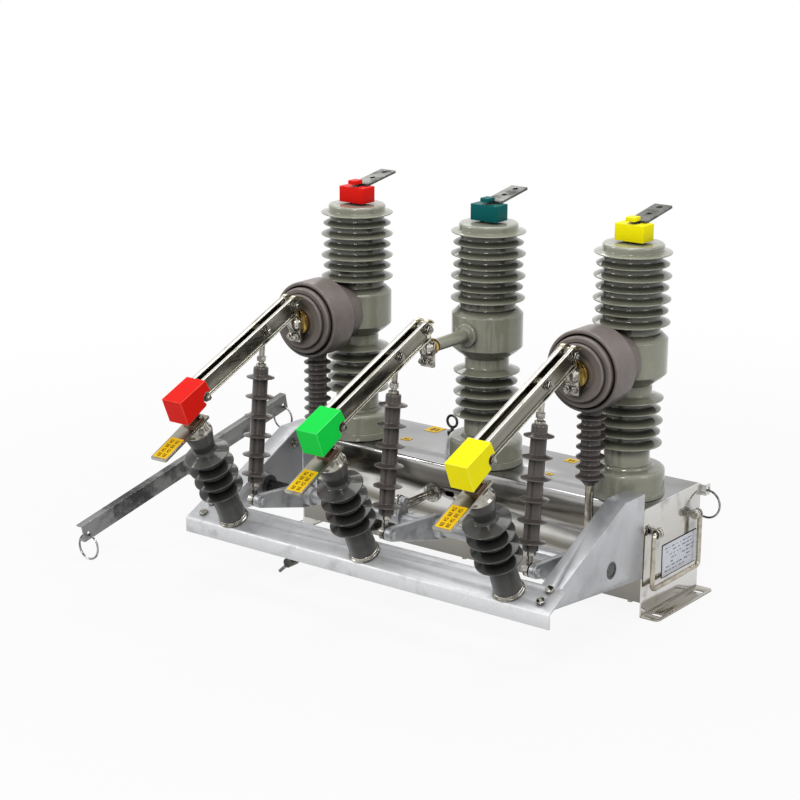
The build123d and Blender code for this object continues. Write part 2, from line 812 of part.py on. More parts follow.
def blade_cover(x):
    """Moulded cover over the blade tip, open below and behind, notched round its bolt."""
    outer = polygon(blade_point(cover_back + cover_lean, cover_high), blade_point(cover_front, cover_high),
                    blade_point(cover_front, cover_low - cover_slant),
                    blade_point(cover_back - cover_lean, cover_low + cover_slant))
    beyond = cover_half
    inner = polygon(blade_point(cover_back - beyond, cover_high - cover_wall),
                    blade_point(cover_front - cover_wall, cover_high - cover_wall),
                    blade_point(cover_front - cover_wall, cover_low - beyond),
                    blade_point(cover_back - beyond, cover_low - beyond))
    shell = side_plate(outer, -cover_half, cover_half)
    shell -= side_plate(inner, -cover_half + cover_wall, cover_half - cover_wall)
    reach = 2.5 * cover_notch_r
    places = [(cover_bolt_at, -cover_bolt_drop), (cover_bolt_at, -cover_bolt_drop - reach),
              (cover_bolt_at - reach, -cover_bolt_drop - reach)]
    discs = [disc_at(blade_point(along, above), cover_notch_r) for along, above in places]
    notch = make_hull((discs[0] + discs[1] + discs[2]).edges())
    return Pos(x, 0, 0) * (shell - side_plate(notch, -cover_half - 1, cover_half + 1))


def jaw(x):
    """Cast pedestal, flat terminal bar and upright contact that the blade closes over."""
    up = (0, -sin(radians(post_tilt)), cos(radians(post_tilt)))
    foot = post_point(post_height + seat)
    pedestal = lathe([(0, 0), (post_head_r, 0), (post_head_r, pedestal_edge),
                      (pedestal_top_r, pedestal_height), (0, pedestal_height)])
    pedestal = turned(pedestal, (0, foot[0], foot[1]), up)
    level = post_height + seat + pedestal_height
    top = level + lower_bar_thick
    bar = side_plate(polygon(post_point(level, -lower_bar_back), post_point(level, lower_bar_front),
                             post_point(top, lower_bar_front), post_point(top, -lower_bar_back)),
                     -terminal_width / 2, terminal_width / 2)
    ends = bar.edges().filter_by(lambda edge: abs(edge.length - lower_bar_thick) < 0.01)
    bar = chamfer(ends, lower_bar_chamfer)
    half = blade_gap / 2 - seat
    far = blade_length - tongue_from_tip
    near = far - tongue_length
    foot_half = tongue_length / 2
    reach = polygon(blade_point(near, tongue_top), blade_point(far, tongue_top - tongue_drop),
                    post_point(top, foot_half - tongue_from_tip),
                    post_point(top, -foot_half - tongue_from_tip))
    tongue = side_plate(reach, -half, half)
    foot_top = top + tongue_foot_thick
    flange = side_plate(polygon(post_point(top, foot_half), post_point(foot_top, foot_half),
                                post_point(foot_top, -foot_half), post_point(top, -foot_half)),
                        -tongue_foot_half, tongue_foot_half)
    return Pos(x, 0, 0) * Compound([pedestal, bar, tongue + flange])


def post(x):
    """Support insulator of four deep sheds, tilted forward on the beam."""
    up = (0, -sin(radians(post_tilt)), cos(radians(post_tilt)))
    foot = post_point(seat)
    outline = [(0, 0), (post_ring_r, 0), (post_ring_r, post_ring_height), (post_foot_r, post_ring_height)]
    outline += sheds(post_core_r, (post_shed_r,), post_shed_first, post_shed_pitch, post_sheds,
                     post_shed_rise, -post_shed_under)
    outline += [(post_neck_r, outline[-1][1] + 2), (post_neck_r, post_neck_top)]
    outline += [(post_head_r, post_height), (0, post_height)]
    body = lathe(outline)
    return Pos(x, 0, 0) * turned(body, (0, foot[0], foot[1]), up)


# Frame

def front_beam():
    """Folded channel that carries the support insulators."""
    width = beam_top_width
    back = beam_point(width, 0)
    back_in = beam_point(width, -beam_sheet)
    tilt = radians(post_tilt)
    inner_z = beam_bend_z + beam_sheet * tan(tilt) - beam_sheet / cos(tilt)
    outer = polygon((beam_bend_y, beam_bend_z - beam_lip), (beam_bend_y, beam_bend_z), back, back_in,
                    (beam_bend_y + beam_sheet, inner_z), (beam_bend_y + beam_sheet, beam_bend_z - beam_lip))
    section = fillet([outer.vertices().sort_by_distance((beam_bend_y, beam_bend_z))[0]], beam_bend_r)
    beam = side_plate(section, -beam_half_length, beam_half_length)
    short = beam.edges().filter_by(lambda edge: abs(edge.length - beam_sheet) < 0.01)
    beam = fillet(short.group_by(Axis.Y)[-1], beam_corner)
    for end in (-1, 1):
        for at in beam_bolt_at:
            y, z = beam_point(at, 0)
            hole = Cylinder(hex_hole_r, 6 * beam_sheet)
            beam -= turned(hole, (end * beam_bolt_x, y, z), up_beam())
    for x in phases.values():
        y, z = post_point(0)
        beam -= turned(Cylinder(post_stud_r + seat, 6 * beam_sheet), (x, y, z), up_beam())
    return beam


def up_beam():
    """Normal of the sloping top of the beam."""
    return 0, -sin(radians(post_tilt)), cos(radians(post_tilt))


def bracket(side):
    """Folded side bracket from the tank to the beam, open inwards and below."""
    under = -beam_sheet - seat
    slope_low = beam_point((bracket_front_y - beam_bend_y) / cos(radians(post_tilt)), under)
    top_front_y = -tank_half_depth - bracket_top_depth
    slope = radians(post_tilt)
    top_z = slope_low[1] + (top_front_y - slope_low[0]) * sin(slope) / cos(slope)
    rear = -tank_half_depth - seat
    outline = [(rear, top_z), (top_front_y, top_z), slope_low, (slope_low[0], slope_low[1] - bracket_toe),
               (rear, bracket_rear_low)]
    outer = polygon(*outline)
    wall = bracket_sheet
    inner = polygon((rear - wall, top_z - wall), (top_front_y + wall * tan(slope / 2), top_z - wall),
                    (slope_low[0], slope_low[1] - wall / cos(slope)), (slope_low[0], 0), (rear - wall, 0))
    out = tank_half_length
    body = side_plate(outer, out - bracket_flange, out)
    body -= side_plate(inner, out - bracket_flange - 1, out - wall)
    body -= bar_x(bush_r + seat, out - wall - 1, out + 1, shaft_y, shaft_z)
    for at in beam_bolt_at:
        y, z = beam_point(at, under)
        body -= turned(Cylinder(hex_hole_r, 6 * wall), (beam_bolt_x, y, z), up_beam())
    return body if side > 0 else mirror(body, Plane.YZ)


def frame_bolts():
    """Hexagon bolts that hold the beam to the brackets and the insulators to the beam."""
    bolts = []
    stack = beam_sheet + bracket_sheet + seat
    for end in (-1, 1):
        for at in beam_bolt_at:
            y, z = beam_point(at, -stack / 2)
            one = cross_bolt(hex_bolt_r, stack + 2 * seat, hex_head_r, hex_head, hex_nut)
            bolts.append(turned(one, (end * beam_bolt_x, y, z), up_beam()))
    for x in phases.values():
        y, z = post_point(-beam_sheet - seat)
        head = Pos(0, 0, -hex_head) * hex_prism(post_head_bolt_r, hex_head)
        head += Pos(0, 0, beam_sheet / 2) * Cylinder(post_stud_r, beam_sheet)
        bolts.append(turned(head, (x, y, z), up_beam()))
    for x, y in cover_screw_places():
        screw = Pos(0, 0, -screw_head) * hex_prism(screw_head_r, screw_head)
        screw += Pos(0, 0, 2 * sheet) * Cylinder(screw_r, 4 * sheet)
        bolts.append(Pos(x, y, tank_floor - seat) * screw)
    return Compound(bolts)


# Isolator drive

def isolator_shaft():
    """Shaft with its three cranks, their pins and the interlock arm."""
    end = tank_half_length - 1
    shaft = bar_x(shaft_r, lever_x + 1, end, shaft_y, shaft_z)
    for x in phases.values():
        low = x + crank_offset
        outline = arm_outline((shaft_y, shaft_z), crank_hub_r, (crank_y, crank_z), crank_eye_r)
        plate = side_plate(outline, low, low + crank_thick)
        plate = fillet(plate.edges().group_by(Axis.X)[-1], crank_round)
        shaft += plate + bar_x(hub_r, low, low + hub_length, shaft_y, shaft_z)
        nut_x = x - crank_offset - crank_pin_nut
        shaft += bar_x(crank_pin_r, nut_x, low, crank_y, crank_z)
        shaft += along_x(hex_prism(crank_nut_r, crank_nut), low + crank_thick, crank_y, crank_z)
        shaft += along_x(hex_prism(crank_nut_r, crank_pin_nut), nut_x, crank_y, crank_z)
    pin_z = shaft_z + interlock_arm
    near = interlock_x + interlock_plate / 2 + 1
    far = near + interlock_plate
    arm = arm_outline((shaft_y, shaft_z), hub_r, (shaft_y, pin_z), interlock_end_r)
    shaft += side_plate(arm, near, far)
    shaft += bar_x(interlock_pin_r, near - 2 * interlock_plate, near, shaft_y, pin_z)
    shaft += along_x(hex_prism(crank_nut_r, crank_nut), far, shaft_y, pin_z)
    return shaft


def shaft_bushes():
    """Flanged bushes in the two brackets."""
    out = tank_half_length
    inner = out - bracket_sheet - bush_flange - seat
    bore = shaft_r + run_gap
    one = lathe([(bore, 0), (bush_flange_r, 0), (bush_flange_r, bush_flange), (bush_r, bush_flange),
                 (bush_r, out - inner), (bore, out - inner)])
    right = along_x(one, inner, shaft_y, shaft_z)
    return Compound([right, mirror(right, Plane.YZ)])


def hand_lever():
    """Two-armed channel lever on the left end of the shaft, with a hole near each tip."""
    length = lever_front + lever_rear
    middle = (lever_front - lever_rear) / 2
    web = Pos(middle, 0) * Rectangle(length, lever_height)
    hollow = Pos(middle, 0) * Rectangle(length + 2, lever_height - 2 * lever_sheet)
    frame = Plane(origin=(lever_x, shaft_y, shaft_z), x_dir=(0, *unit(-1, lever_tilt)), z_dir=(-1, 0, 0))
    lever = extrude(frame * web, amount=lever_flange, dir=(-1, 0, 0))
    lever -= extrude(frame.offset(lever_sheet) * hollow, amount=lever_flange, dir=(-1, 0, 0))
    for y, z in (ring_pivot(-1), ring_pivot(1)):
        lever -= bar_x(ring_hole_r, lever_x - lever_sheet - 1, lever_x + 1, y, z)
    hub = bar_x(lever_hub_r, lever_x, lever_x + lever_hub, shaft_y, shaft_z)
    nut = along_x(hex_prism(lever_nut_r, lever_nut), lever_x - lever_sheet - lever_nut, shaft_y, shaft_z)
    lever += hub + nut
    return lever - bar_x(shaft_r + run_gap, lever_x + 1 - seat, lever_x + lever_hub + 1, shaft_y, shaft_z)


def ring_pivot(way):
    """Centre (y, z) of the ring hole at the front (-1) or rear (1) tip of the lever."""
    tilt = radians(lever_tilt)
    along = (lever_front if way < 0 else lever_rear) - ring_hole_from_tip
    y = shaft_y + way * along * cos(tilt) + ring_hole_drop * sin(tilt)
    z = shaft_z + way * along * sin(tilt) - ring_hole_drop * cos(tilt)
    return y, z


def hanging_ring(x, y, z, radius, wire_r):
    """Closed wire ring that hangs across a hole and rests on the hole's lower edge."""
    top = z - ring_hole_r + wire_r + seat
    return Pos(x, y, top - radius) * Rot(90, 0, 0) * Torus(radius, wire_r)


def pull_rod(x):
    """Insulated rod from the blade down to the crank."""
    link = blade_point(link_at, 0)
    dy = crank_y - link[0]
    dz = crank_z - link[1]
    length = hypot(dy, dz)
    down = (0, dy / length, dz / length)
    points = [(0, link_body_top), (link_body_r, link_body_top)]
    for index in range(link_sheds):
        at = link_shed_first + index * link_shed_pitch
        points += [(link_body_r, at - link_shed_thick), (link_shed_r, at), (link_body_r, at + 1)]
    points += [(link_body_r, link_body_bottom), (0, link_body_bottom)]
    body = lathe(points)
    top = Pos(0, 0, link_body_top / 2) * Cylinder(link_stem_r, link_body_top)
    top += Pos(0, 0, link_body_top - link_nut_from_body) * hex_prism(link_nut_r, link_nut)
    top += Rot(0, 90, 0) * Cylinder(link_eye_r, link_eye_thick)
    top -= Rot(0, 90, 0) * Cylinder(link_pin_r + run_gap, 2 * link_eye_thick)
    foot_run = length - link_body_bottom
    foot = Pos(0, 0, link_body_bottom + foot_run / 2) * Cylinder(link_stem_r, foot_run)
    foot += Pos(0, 0, link_body_bottom + seat) * hex_prism(link_nut_r, link_ferrule)
    foot += Pos(0, 0, length) * Rot(0, 90, 0) * Cylinder(link_foot_eye_r, link_foot_thick)
    foot -= Pos(0, 0, length) * Rot(0, 90, 0) * Cylinder(crank_pin_r + link_foot_slack, 2 * link_foot_thick)
    rod = Compound([top, body, foot])
    return turned(rod, (x, link[0], link[1]), down)


def interlock_rod():
    """Rod from the tank to the arm on the shaft, with an upright slot for the arm's pin."""
    x = interlock_x
    low = x - interlock_plate / 2
    pin_z = shaft_z + interlock_arm
    rod_front = shaft_y + interlock_offset - interlock_end_r
    rod = bar_y(interlock_rod_r, rod_front, -tank_half_depth + interlock_inside, x, interlock_rod_z)
    plate = arm_outline((shaft_y, pin_z), interlock_eye_r, (shaft_y + interlock_offset, interlock_rod_z),
                        interlock_end_r)
    plate += disc_at((shaft_y, pin_z - interlock_slot), interlock_eye_r)
    rod += side_plate(plate, low, low + interlock_plate)
    slot_r = interlock_pin_r + interlock_play
    slot = arm_outline((shaft_y, pin_z + 1), slot_r, (shaft_y, pin_z - interlock_slot), slot_r)
    return rod - side_plate(slot, low - 1, low + interlock_plate + 1)


def trip_shaft():
    """Manual trip shaft out of the tank, with its cross handle under the beam."""
    shaft = bar_y(trip_r, trip_front_y, -tank_half_depth + interlock_inside, trip_x, trip_z)
    shaft += bar_y(trip_hub_r, trip_front_y, trip_front_y + trip_hub, trip_x, trip_z)
    angle = radians(trip_handle_angle)
    way = (-cos(angle), 0, -sin(angle))
    handle = turned(Pos(0, 0, trip_handle / 2 - trip_handle_back) * Cylinder(trip_handle_r, trip_handle),
                    (trip_x, trip_front_y + trip_hub / 2, trip_z), way, (0, 1, 0))
    return shaft + handle


# Drive inside the tank

def main_shaft():
    """Shaft under the poles with a forked crank for each drive rod."""
    shaft = bar_x(main_r, -main_half, main_half, main_y, main_z)
    for x in phases.values():
        for way in (-1, 1):
            low = x + way * main_plate_x - main_plate / 2
            plate = arm_outline((main_y, main_z), main_hub_r, (pole_y, drive_pin_z), main_eye_r)
            slot = arm_outline((pole_y - main_slot / 2, drive_pin_z), drive_pin_r + 0.3,
                               (pole_y + main_slot / 2, drive_pin_z), drive_pin_r + 0.3)
            shaft += side_plate(plate - slot, low, low + main_plate)
    return shaft


def mechanism_frame():
    """Two bearing plates and a base strip inside the tank, with the spring can between them."""
    low = tank_floor + sheet + seat
    parts = block((-frame_x, frame_x), frame_y, (low, low + frame_plate))
    for way in (-1, 1):
        near, far = sorted((way * frame_x, way * (frame_x - frame_plate)))
        plate = block((near, far), frame_y, (low, main_z + frame_above_shaft))
        parts += plate - bar_x(main_r + run_gap, near - 1, far + 1, main_y, main_z)
    reach = frame_x - frame_plate
    can = bar_x(spring_can_r, -reach, reach, spring_can_y, spring_can_z)
    return parts + can


# Handles and rings

def handle(side):
    """Bail of round bar hanging in the two eyes of an end plate."""
    front = handle_y[0]
    rear = handle_y[1]
    low = handle_z - handle_drop
    inset = handle_eye_length + 2
    points = [(handle_x, front + inset, handle_z), (handle_x, front - handle_spread, handle_z),
              (handle_x, front - handle_spread, low), (handle_x, rear + handle_spread, low),
              (handle_x, rear + handle_spread, handle_z), (handle_x, rear - inset, handle_z)]
    path = FilletPolyline(*points, radius=handle_bend)
    start = Plane(origin=points[0], z_dir=(0, -1, 0))
    bail = sweep(start * Circle(handle_wire_r), path=path)
    return bail if side > 0 else mirror(bail, Plane.YZ)


def build():
    """Every piece by the name of its file."""
    pieces = {"tank_shell": tank_shell(), "bottom_cover": bottom_cover(), "end_plate_right": end_plate(1),
              "end_plate_left": end_plate(-1), "front_beam": front_beam(), "bracket_right": bracket(1),
              "bracket_left": bracket(-1), "frame_bolts": frame_bolts(), "ct_bushings": ct_bushings(),
              "ct_conduits": ct_conduits(), "isolator_shaft": isolator_shaft(),
              "shaft_bushes": shaft_bushes(),
              "hand_lever": hand_lever(), "interlock_rod": interlock_rod(), "trip_shaft": trip_shaft(),
              "main_shaft": main_shaft(), "mechanism_frame": mechanism_frame(), "handle_right": handle(1),
              "handle_left": handle(-1)}
    for name, way in (("lever_ring_front", -1), ("lever_ring_rear", 1)):
        y, z = ring_pivot(way)
        pieces[name] = hanging_ring(lever_x - lever_sheet / 2, y, z, ring_r, ring_wire_r)
    pieces["pull_ring"] = hanging_ring(pull_lug_x - pull_lug_thick / 2, tank_half_depth + pull_hole_out,
                                       pull_lug_z, pull_ring_r, pull_ring_wire_r)
    for side in ("left", "right"):
        pieces["ct_" + side] = current_transformer(phases[side])
    for side, x in phases.items():
        pieces["pole_" + side] = pole(x, side)
        pieces["interrupter_" + side] = interrupter(x)
        pieces["drive_rod_" + side] = drive_rod(x)
        pieces["conductor_" + side] = conductor(x, side)
        pieces["top_terminal_" + side] = top_terminal(x)
        pieces["top_cap_" + side] = top_cap(x)
        pieces["hinge_" + side] = hinge(x)
        pieces["blade_" + side] = blade(x)
        pieces["blade_cover_" + side] = blade_cover(x)
        pieces["jaw_" + side] = jaw(x)
        pieces["post_" + side] = post(x)
        pieces["pull_rod_" + side] = pull_rod(x)
    return pieces


os.makedirs("parts", exist_ok=True)
for name, shape in build().items():
    export_step(shape, "parts/" + name + ".step")
    print(name)
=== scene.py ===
import json
import math
import random

import bmesh
import bpy
from mathutils import Matrix, Vector
from mathutils.geometry import tessellate_polygon

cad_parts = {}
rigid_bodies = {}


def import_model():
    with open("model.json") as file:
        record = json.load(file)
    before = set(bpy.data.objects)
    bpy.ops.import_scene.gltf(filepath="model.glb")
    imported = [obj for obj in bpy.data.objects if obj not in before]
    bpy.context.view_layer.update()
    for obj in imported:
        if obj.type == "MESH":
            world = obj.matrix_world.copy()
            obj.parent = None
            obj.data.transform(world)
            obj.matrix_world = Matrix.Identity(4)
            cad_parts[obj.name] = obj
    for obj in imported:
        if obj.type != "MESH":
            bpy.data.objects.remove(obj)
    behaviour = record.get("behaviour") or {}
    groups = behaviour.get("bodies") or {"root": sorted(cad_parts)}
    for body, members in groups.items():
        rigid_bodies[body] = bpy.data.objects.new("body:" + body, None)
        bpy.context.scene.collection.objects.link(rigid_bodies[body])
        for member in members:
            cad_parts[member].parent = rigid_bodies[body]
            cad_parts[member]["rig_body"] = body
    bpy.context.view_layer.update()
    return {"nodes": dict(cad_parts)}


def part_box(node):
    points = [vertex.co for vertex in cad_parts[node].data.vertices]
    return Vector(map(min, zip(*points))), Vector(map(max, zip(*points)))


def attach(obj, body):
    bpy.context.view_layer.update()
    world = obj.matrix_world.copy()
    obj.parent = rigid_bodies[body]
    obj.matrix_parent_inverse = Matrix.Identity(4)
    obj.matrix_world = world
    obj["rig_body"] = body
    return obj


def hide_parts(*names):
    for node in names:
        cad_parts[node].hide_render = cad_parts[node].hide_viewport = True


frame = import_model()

# Outdoor vacuum circuit breaker: sizes below are millimetres in the CAD frame, and meshes are made in metres.
toMetres = 0.001
toMillimetres = 1000.0
random.seed(12)
phases = {"left": -340.0, "middle": 0.0, "right": 340.0}
poleY = -32.0
contactZ = 506.7


def onEachPhase(make):
    for side, x in phases.items():
        make(side, x)


# Node material with mottling, bands, crystals, grain, stains, worn edges with painted highlights, and painted
# shade, as its dictionary asks
def makeFinish(name, look):
    material = bpy.data.materials.new(name)
    material.use_nodes = True
    nodes, links = material.node_tree.nodes, material.node_tree.links
    shader = nodes["Principled BSDF"]
    coords = nodes.new("ShaderNodeTexCoord")

    def stretched(scale):
        mapping = nodes.new("ShaderNodeMapping")
        mapping.inputs["Scale"].default_value = scale
        mapping.inputs["Rotation"].default_value = look.get("grainTurn", (0, 0, 0))
        links.new(coords.outputs["Object"], mapping.inputs["Vector"])
        return mapping.outputs["Vector"]

    def noise(scale, detail=4.0, rough=0.55, vector=None):
        node = nodes.new("ShaderNodeTexNoise")
        node.inputs["Scale"].default_value = scale
        node.inputs["Detail"].default_value = detail
        node.inputs["Roughness"].default_value = rough
        links.new(vector or coords.outputs["Object"], node.inputs["Vector"])
        return node.outputs["Fac"]

    def remap(value, low, high, toLow, toHigh):
        node = nodes.new("ShaderNodeMapRange")
        node.inputs["From Min"].default_value = low
        node.inputs["From Max"].default_value = high
        node.inputs["To Min"].default_value = toLow
        node.inputs["To Max"].default_value = toHigh
        links.new(value, node.inputs["Value"])
        return node.outputs["Result"]

    def combine(operation, first, second):
        node = nodes.new("ShaderNodeMath")
        node.operation = operation
        links.new(first, node.inputs[0])
        links.new(second, node.inputs[1])
        return node.outputs["Value"]

    def blendColour(amount, first, second):
        node = nodes.new("ShaderNodeMix")
        node.data_type = "RGBA"
        if isinstance(amount, float):
            node.inputs["Factor"].default_value = amount
        else:
            links.new(amount, node.inputs["Factor"])
        for socket, value in ((node.inputs[6], first), (node.inputs[7], second)):
            if isinstance(value, tuple):
                socket.default_value = (*value, 1.0)
            else:
                links.new(value, socket)
        return node.outputs[2]

    cloud = noise(look["mottleScale"])
    colour = blendColour(remap(cloud, 0.35, 0.65, 0.0, 1.0), look["colour"], look["mottle"])
    roughness = remap(noise(look.get("roughScale", 9.0), 5.0), 0.3, 0.7, *look["roughness"])
    heights = []
    if "bands" in look:  # tones laid along one axis; most finishes use them for painted reflections, highlights and shade
        bands = look["bands"]
        axes = nodes.new("ShaderNodeSeparateXYZ")
        links.new(stretched((1, 1, 1)), axes.inputs["Vector"])
        drift = noise(bands["driftScale"], 2.0, 0.5, stretched(bands.get("stretch", (1, 1, 1))))
        sway = remap(drift, 0.2, 0.8, -bands["drift"], bands["drift"])
        level = combine("ADD", axes.outputs[bands["axis"]], sway)
        ramp = nodes.new("ShaderNodeValToRGB")
        low, high = bands["stops"][0], bands["stops"][-1]
        spots = ramp.color_ramp.elements
        spots[0].color, spots[1].color = (*low[1], 1.0), (*high[1], 1.0)
        for at, tone in bands["stops"][1:-1]:
            spot = spots.new((at - low[0]) / (high[0] - low[0]))
            spot.color = (*tone, 1.0)
        links.new(remap(level, toMetres * low[0], toMetres * high[0], 0.0, 1.0), ramp.inputs["Fac"])
        colour = blendColour(bands["mix"], colour, ramp.outputs["Color"])
    if "crystals" in look:  # zinc spangle
        crystals = look["crystals"]
        cells = nodes.new("ShaderNodeTexVoronoi")
        cells.inputs["Scale"].default_value = crystals["scale"]
        cells.inputs["Randomness"].default_value = 1.0
        warp = nodes.new("ShaderNodeMix")
        warp.data_type = "VECTOR"
        warp.inputs["Factor"].default_value = 0.04
        wobble = nodes.new("ShaderNodeTexNoise")
        wobble.inputs["Scale"].default_value = crystals["scale"] * 0.6
        links.new(coords.outputs["Object"], wobble.inputs["Vector"])
        links.new(coords.outputs["Object"], warp.inputs[4])
        links.new(wobble.outputs["Color"], warp.inputs[5])
        links.new(warp.outputs[1], cells.inputs["Vector"])
        tone = nodes.new("ShaderNodeSeparateColor")
        links.new(cells.outputs["Color"], tone.inputs["Color"])
        cellTone = tone.outputs["Red"]
        colour = blendColour(remap(cellTone, 0.0, 1.0, 0.0, crystals["amount"]), colour, crystals["colour"])
        roughness = combine("ADD", roughness, remap(cellTone, 0.0, 1.0, -0.07, 0.07))
    if "grain" in look:  # drawn or rolled direction
        grain = look["grain"]
        lines = noise(grain["scale"], 6.0, 0.6, stretched(grain["stretch"]))
        colour = blendColour(remap(lines, 0.35, 0.75, 0.0, grain["amount"]), colour, grain["colour"])
        roughness = combine("ADD", roughness, remap(lines, 0.3, 0.7, -0.06, 0.08))
        heights.append((lines, grain["bump"], 0.0004))
    if "stain" in look:  # tarnish or soot in soft patches
        stain = look["stain"]
        soiled = remap(noise(stain["scale"], 3.0, 0.5), stain.get("edge", 0.52), 0.68, 0.0, stain["amount"])
        colour = blendColour(soiled, colour, stain["colour"])
        roughness = combine("ADD", roughness, remap(soiled, 0.0, 1.0, 0.0, 0.18))
    if "below" in look:  # faces that look down stay in shade
        facing = nodes.new("ShaderNodeNewGeometry")
        parts = nodes.new("ShaderNodeSeparateXYZ")
        links.new(facing.outputs["Normal"], parts.inputs["Vector"])
        shaded = remap(parts.outputs["Z"], -0.75, -0.1, look["below"]["amount"], 0.0)
        colour = blendColour(shaded, colour, look["below"]["colour"])
    if "edge" in look:  # ridges lighter for wear and a painted highlight, corners darker with painted shade
        edgeWearAndHighlight = look["edge"]
        edges = nodes.new("ShaderNodeNewGeometry")
        ridge = remap(edges.outputs["Pointiness"], 0.51, 0.58, 0.0, edgeWearAndHighlight["wearAndHighlight"])
        ridge = combine("MULTIPLY", ridge, remap(noise(60.0, 4.0), 0.35, 0.6, 0.3, 1.0))
        colour = blendColour(ridge, colour, edgeWearAndHighlight["colour"])
        hollow = remap(edges.outputs["Pointiness"], 0.40, 0.49, edgeWearAndHighlight["shade"], 0.0)
        colour = blendColour(hollow, colour, tuple(0.35 * c for c in look["colour"]))
    if "recessShade" in look:  # painted shade: deep places stay dark
        recessShade = look["recessShade"]
        openness = nodes.new("ShaderNodeAmbientOcclusion")
        openness.samples = 6
        openness.inputs["Distance"].default_value = recessShade["reach"]
        if "upward" in recessShade:  # painted shadow line below each shed, none above it
            facing = nodes.new("ShaderNodeNewGeometry")
            lifted = nodes.new("ShaderNodeVectorMath")
            unit = nodes.new("ShaderNodeVectorMath")
            unit.operation = "NORMALIZE"
            lifted.inputs[1].default_value = (0.0, 0.0, recessShade["upward"])
            links.new(facing.outputs["Normal"], lifted.inputs[0])
            links.new(lifted.outputs["Vector"], unit.inputs[0])
            links.new(unit.outputs["Vector"], openness.inputs["Normal"])
        gapShade = remap(openness.outputs["AO"], recessShade["from"], recessShade["to"], recessShade["amount"], 0.0)
        colour = blendColour(gapShade, colour, recessShade["colour"])
        roughness = combine("ADD", roughness, remap(gapShade, 0.0, 1.0, 0.0, 0.35))
    grit = noise(look.get("gritScale", 900.0), 3.0)
    heights.append((grit, look["grit"], 0.0003))
    if "waves" in look:  # slow unevenness of a large surface
        waves = look["waves"]
        heights.append((noise(waves["scale"], 1.5, 0.4), waves["strength"], waves["height"]))
    normal = None
    for height, strength, distance in heights:
        bump = nodes.new("ShaderNodeBump")
        bump.inputs["Strength"].default_value = strength
        bump.inputs["Distance"].default_value = distance
        links.new(height, bump.inputs["Height"])
        if normal:
            links.new(normal, bump.inputs["Normal"])
        normal = bump.outputs["Normal"]
    links.new(colour, shader.inputs["Base Color"])
    links.new(roughness, shader.inputs["Roughness"])
    links.new(normal, shader.inputs["Normal"])
    shader.inputs["Metallic"].default_value = look.get("metallic", 0.0)
    shader.inputs["IOR"].default_value = 1.5
    shader.inputs["Specular IOR Level"].default_value = look.get("specular", 0.3)
    if "coat" in look:
        shader.inputs["Coat Weight"].default_value = look["coat"]
        shader.inputs["Coat Roughness"].default_value = look["coatRoughness"]
    return material


def grey(level):
    return (level, level, level)


def patches(scale, amount, colour, **more):  # stains, crystals and grain have these
    return dict(more, scale=scale, amount=amount, colour=colour)
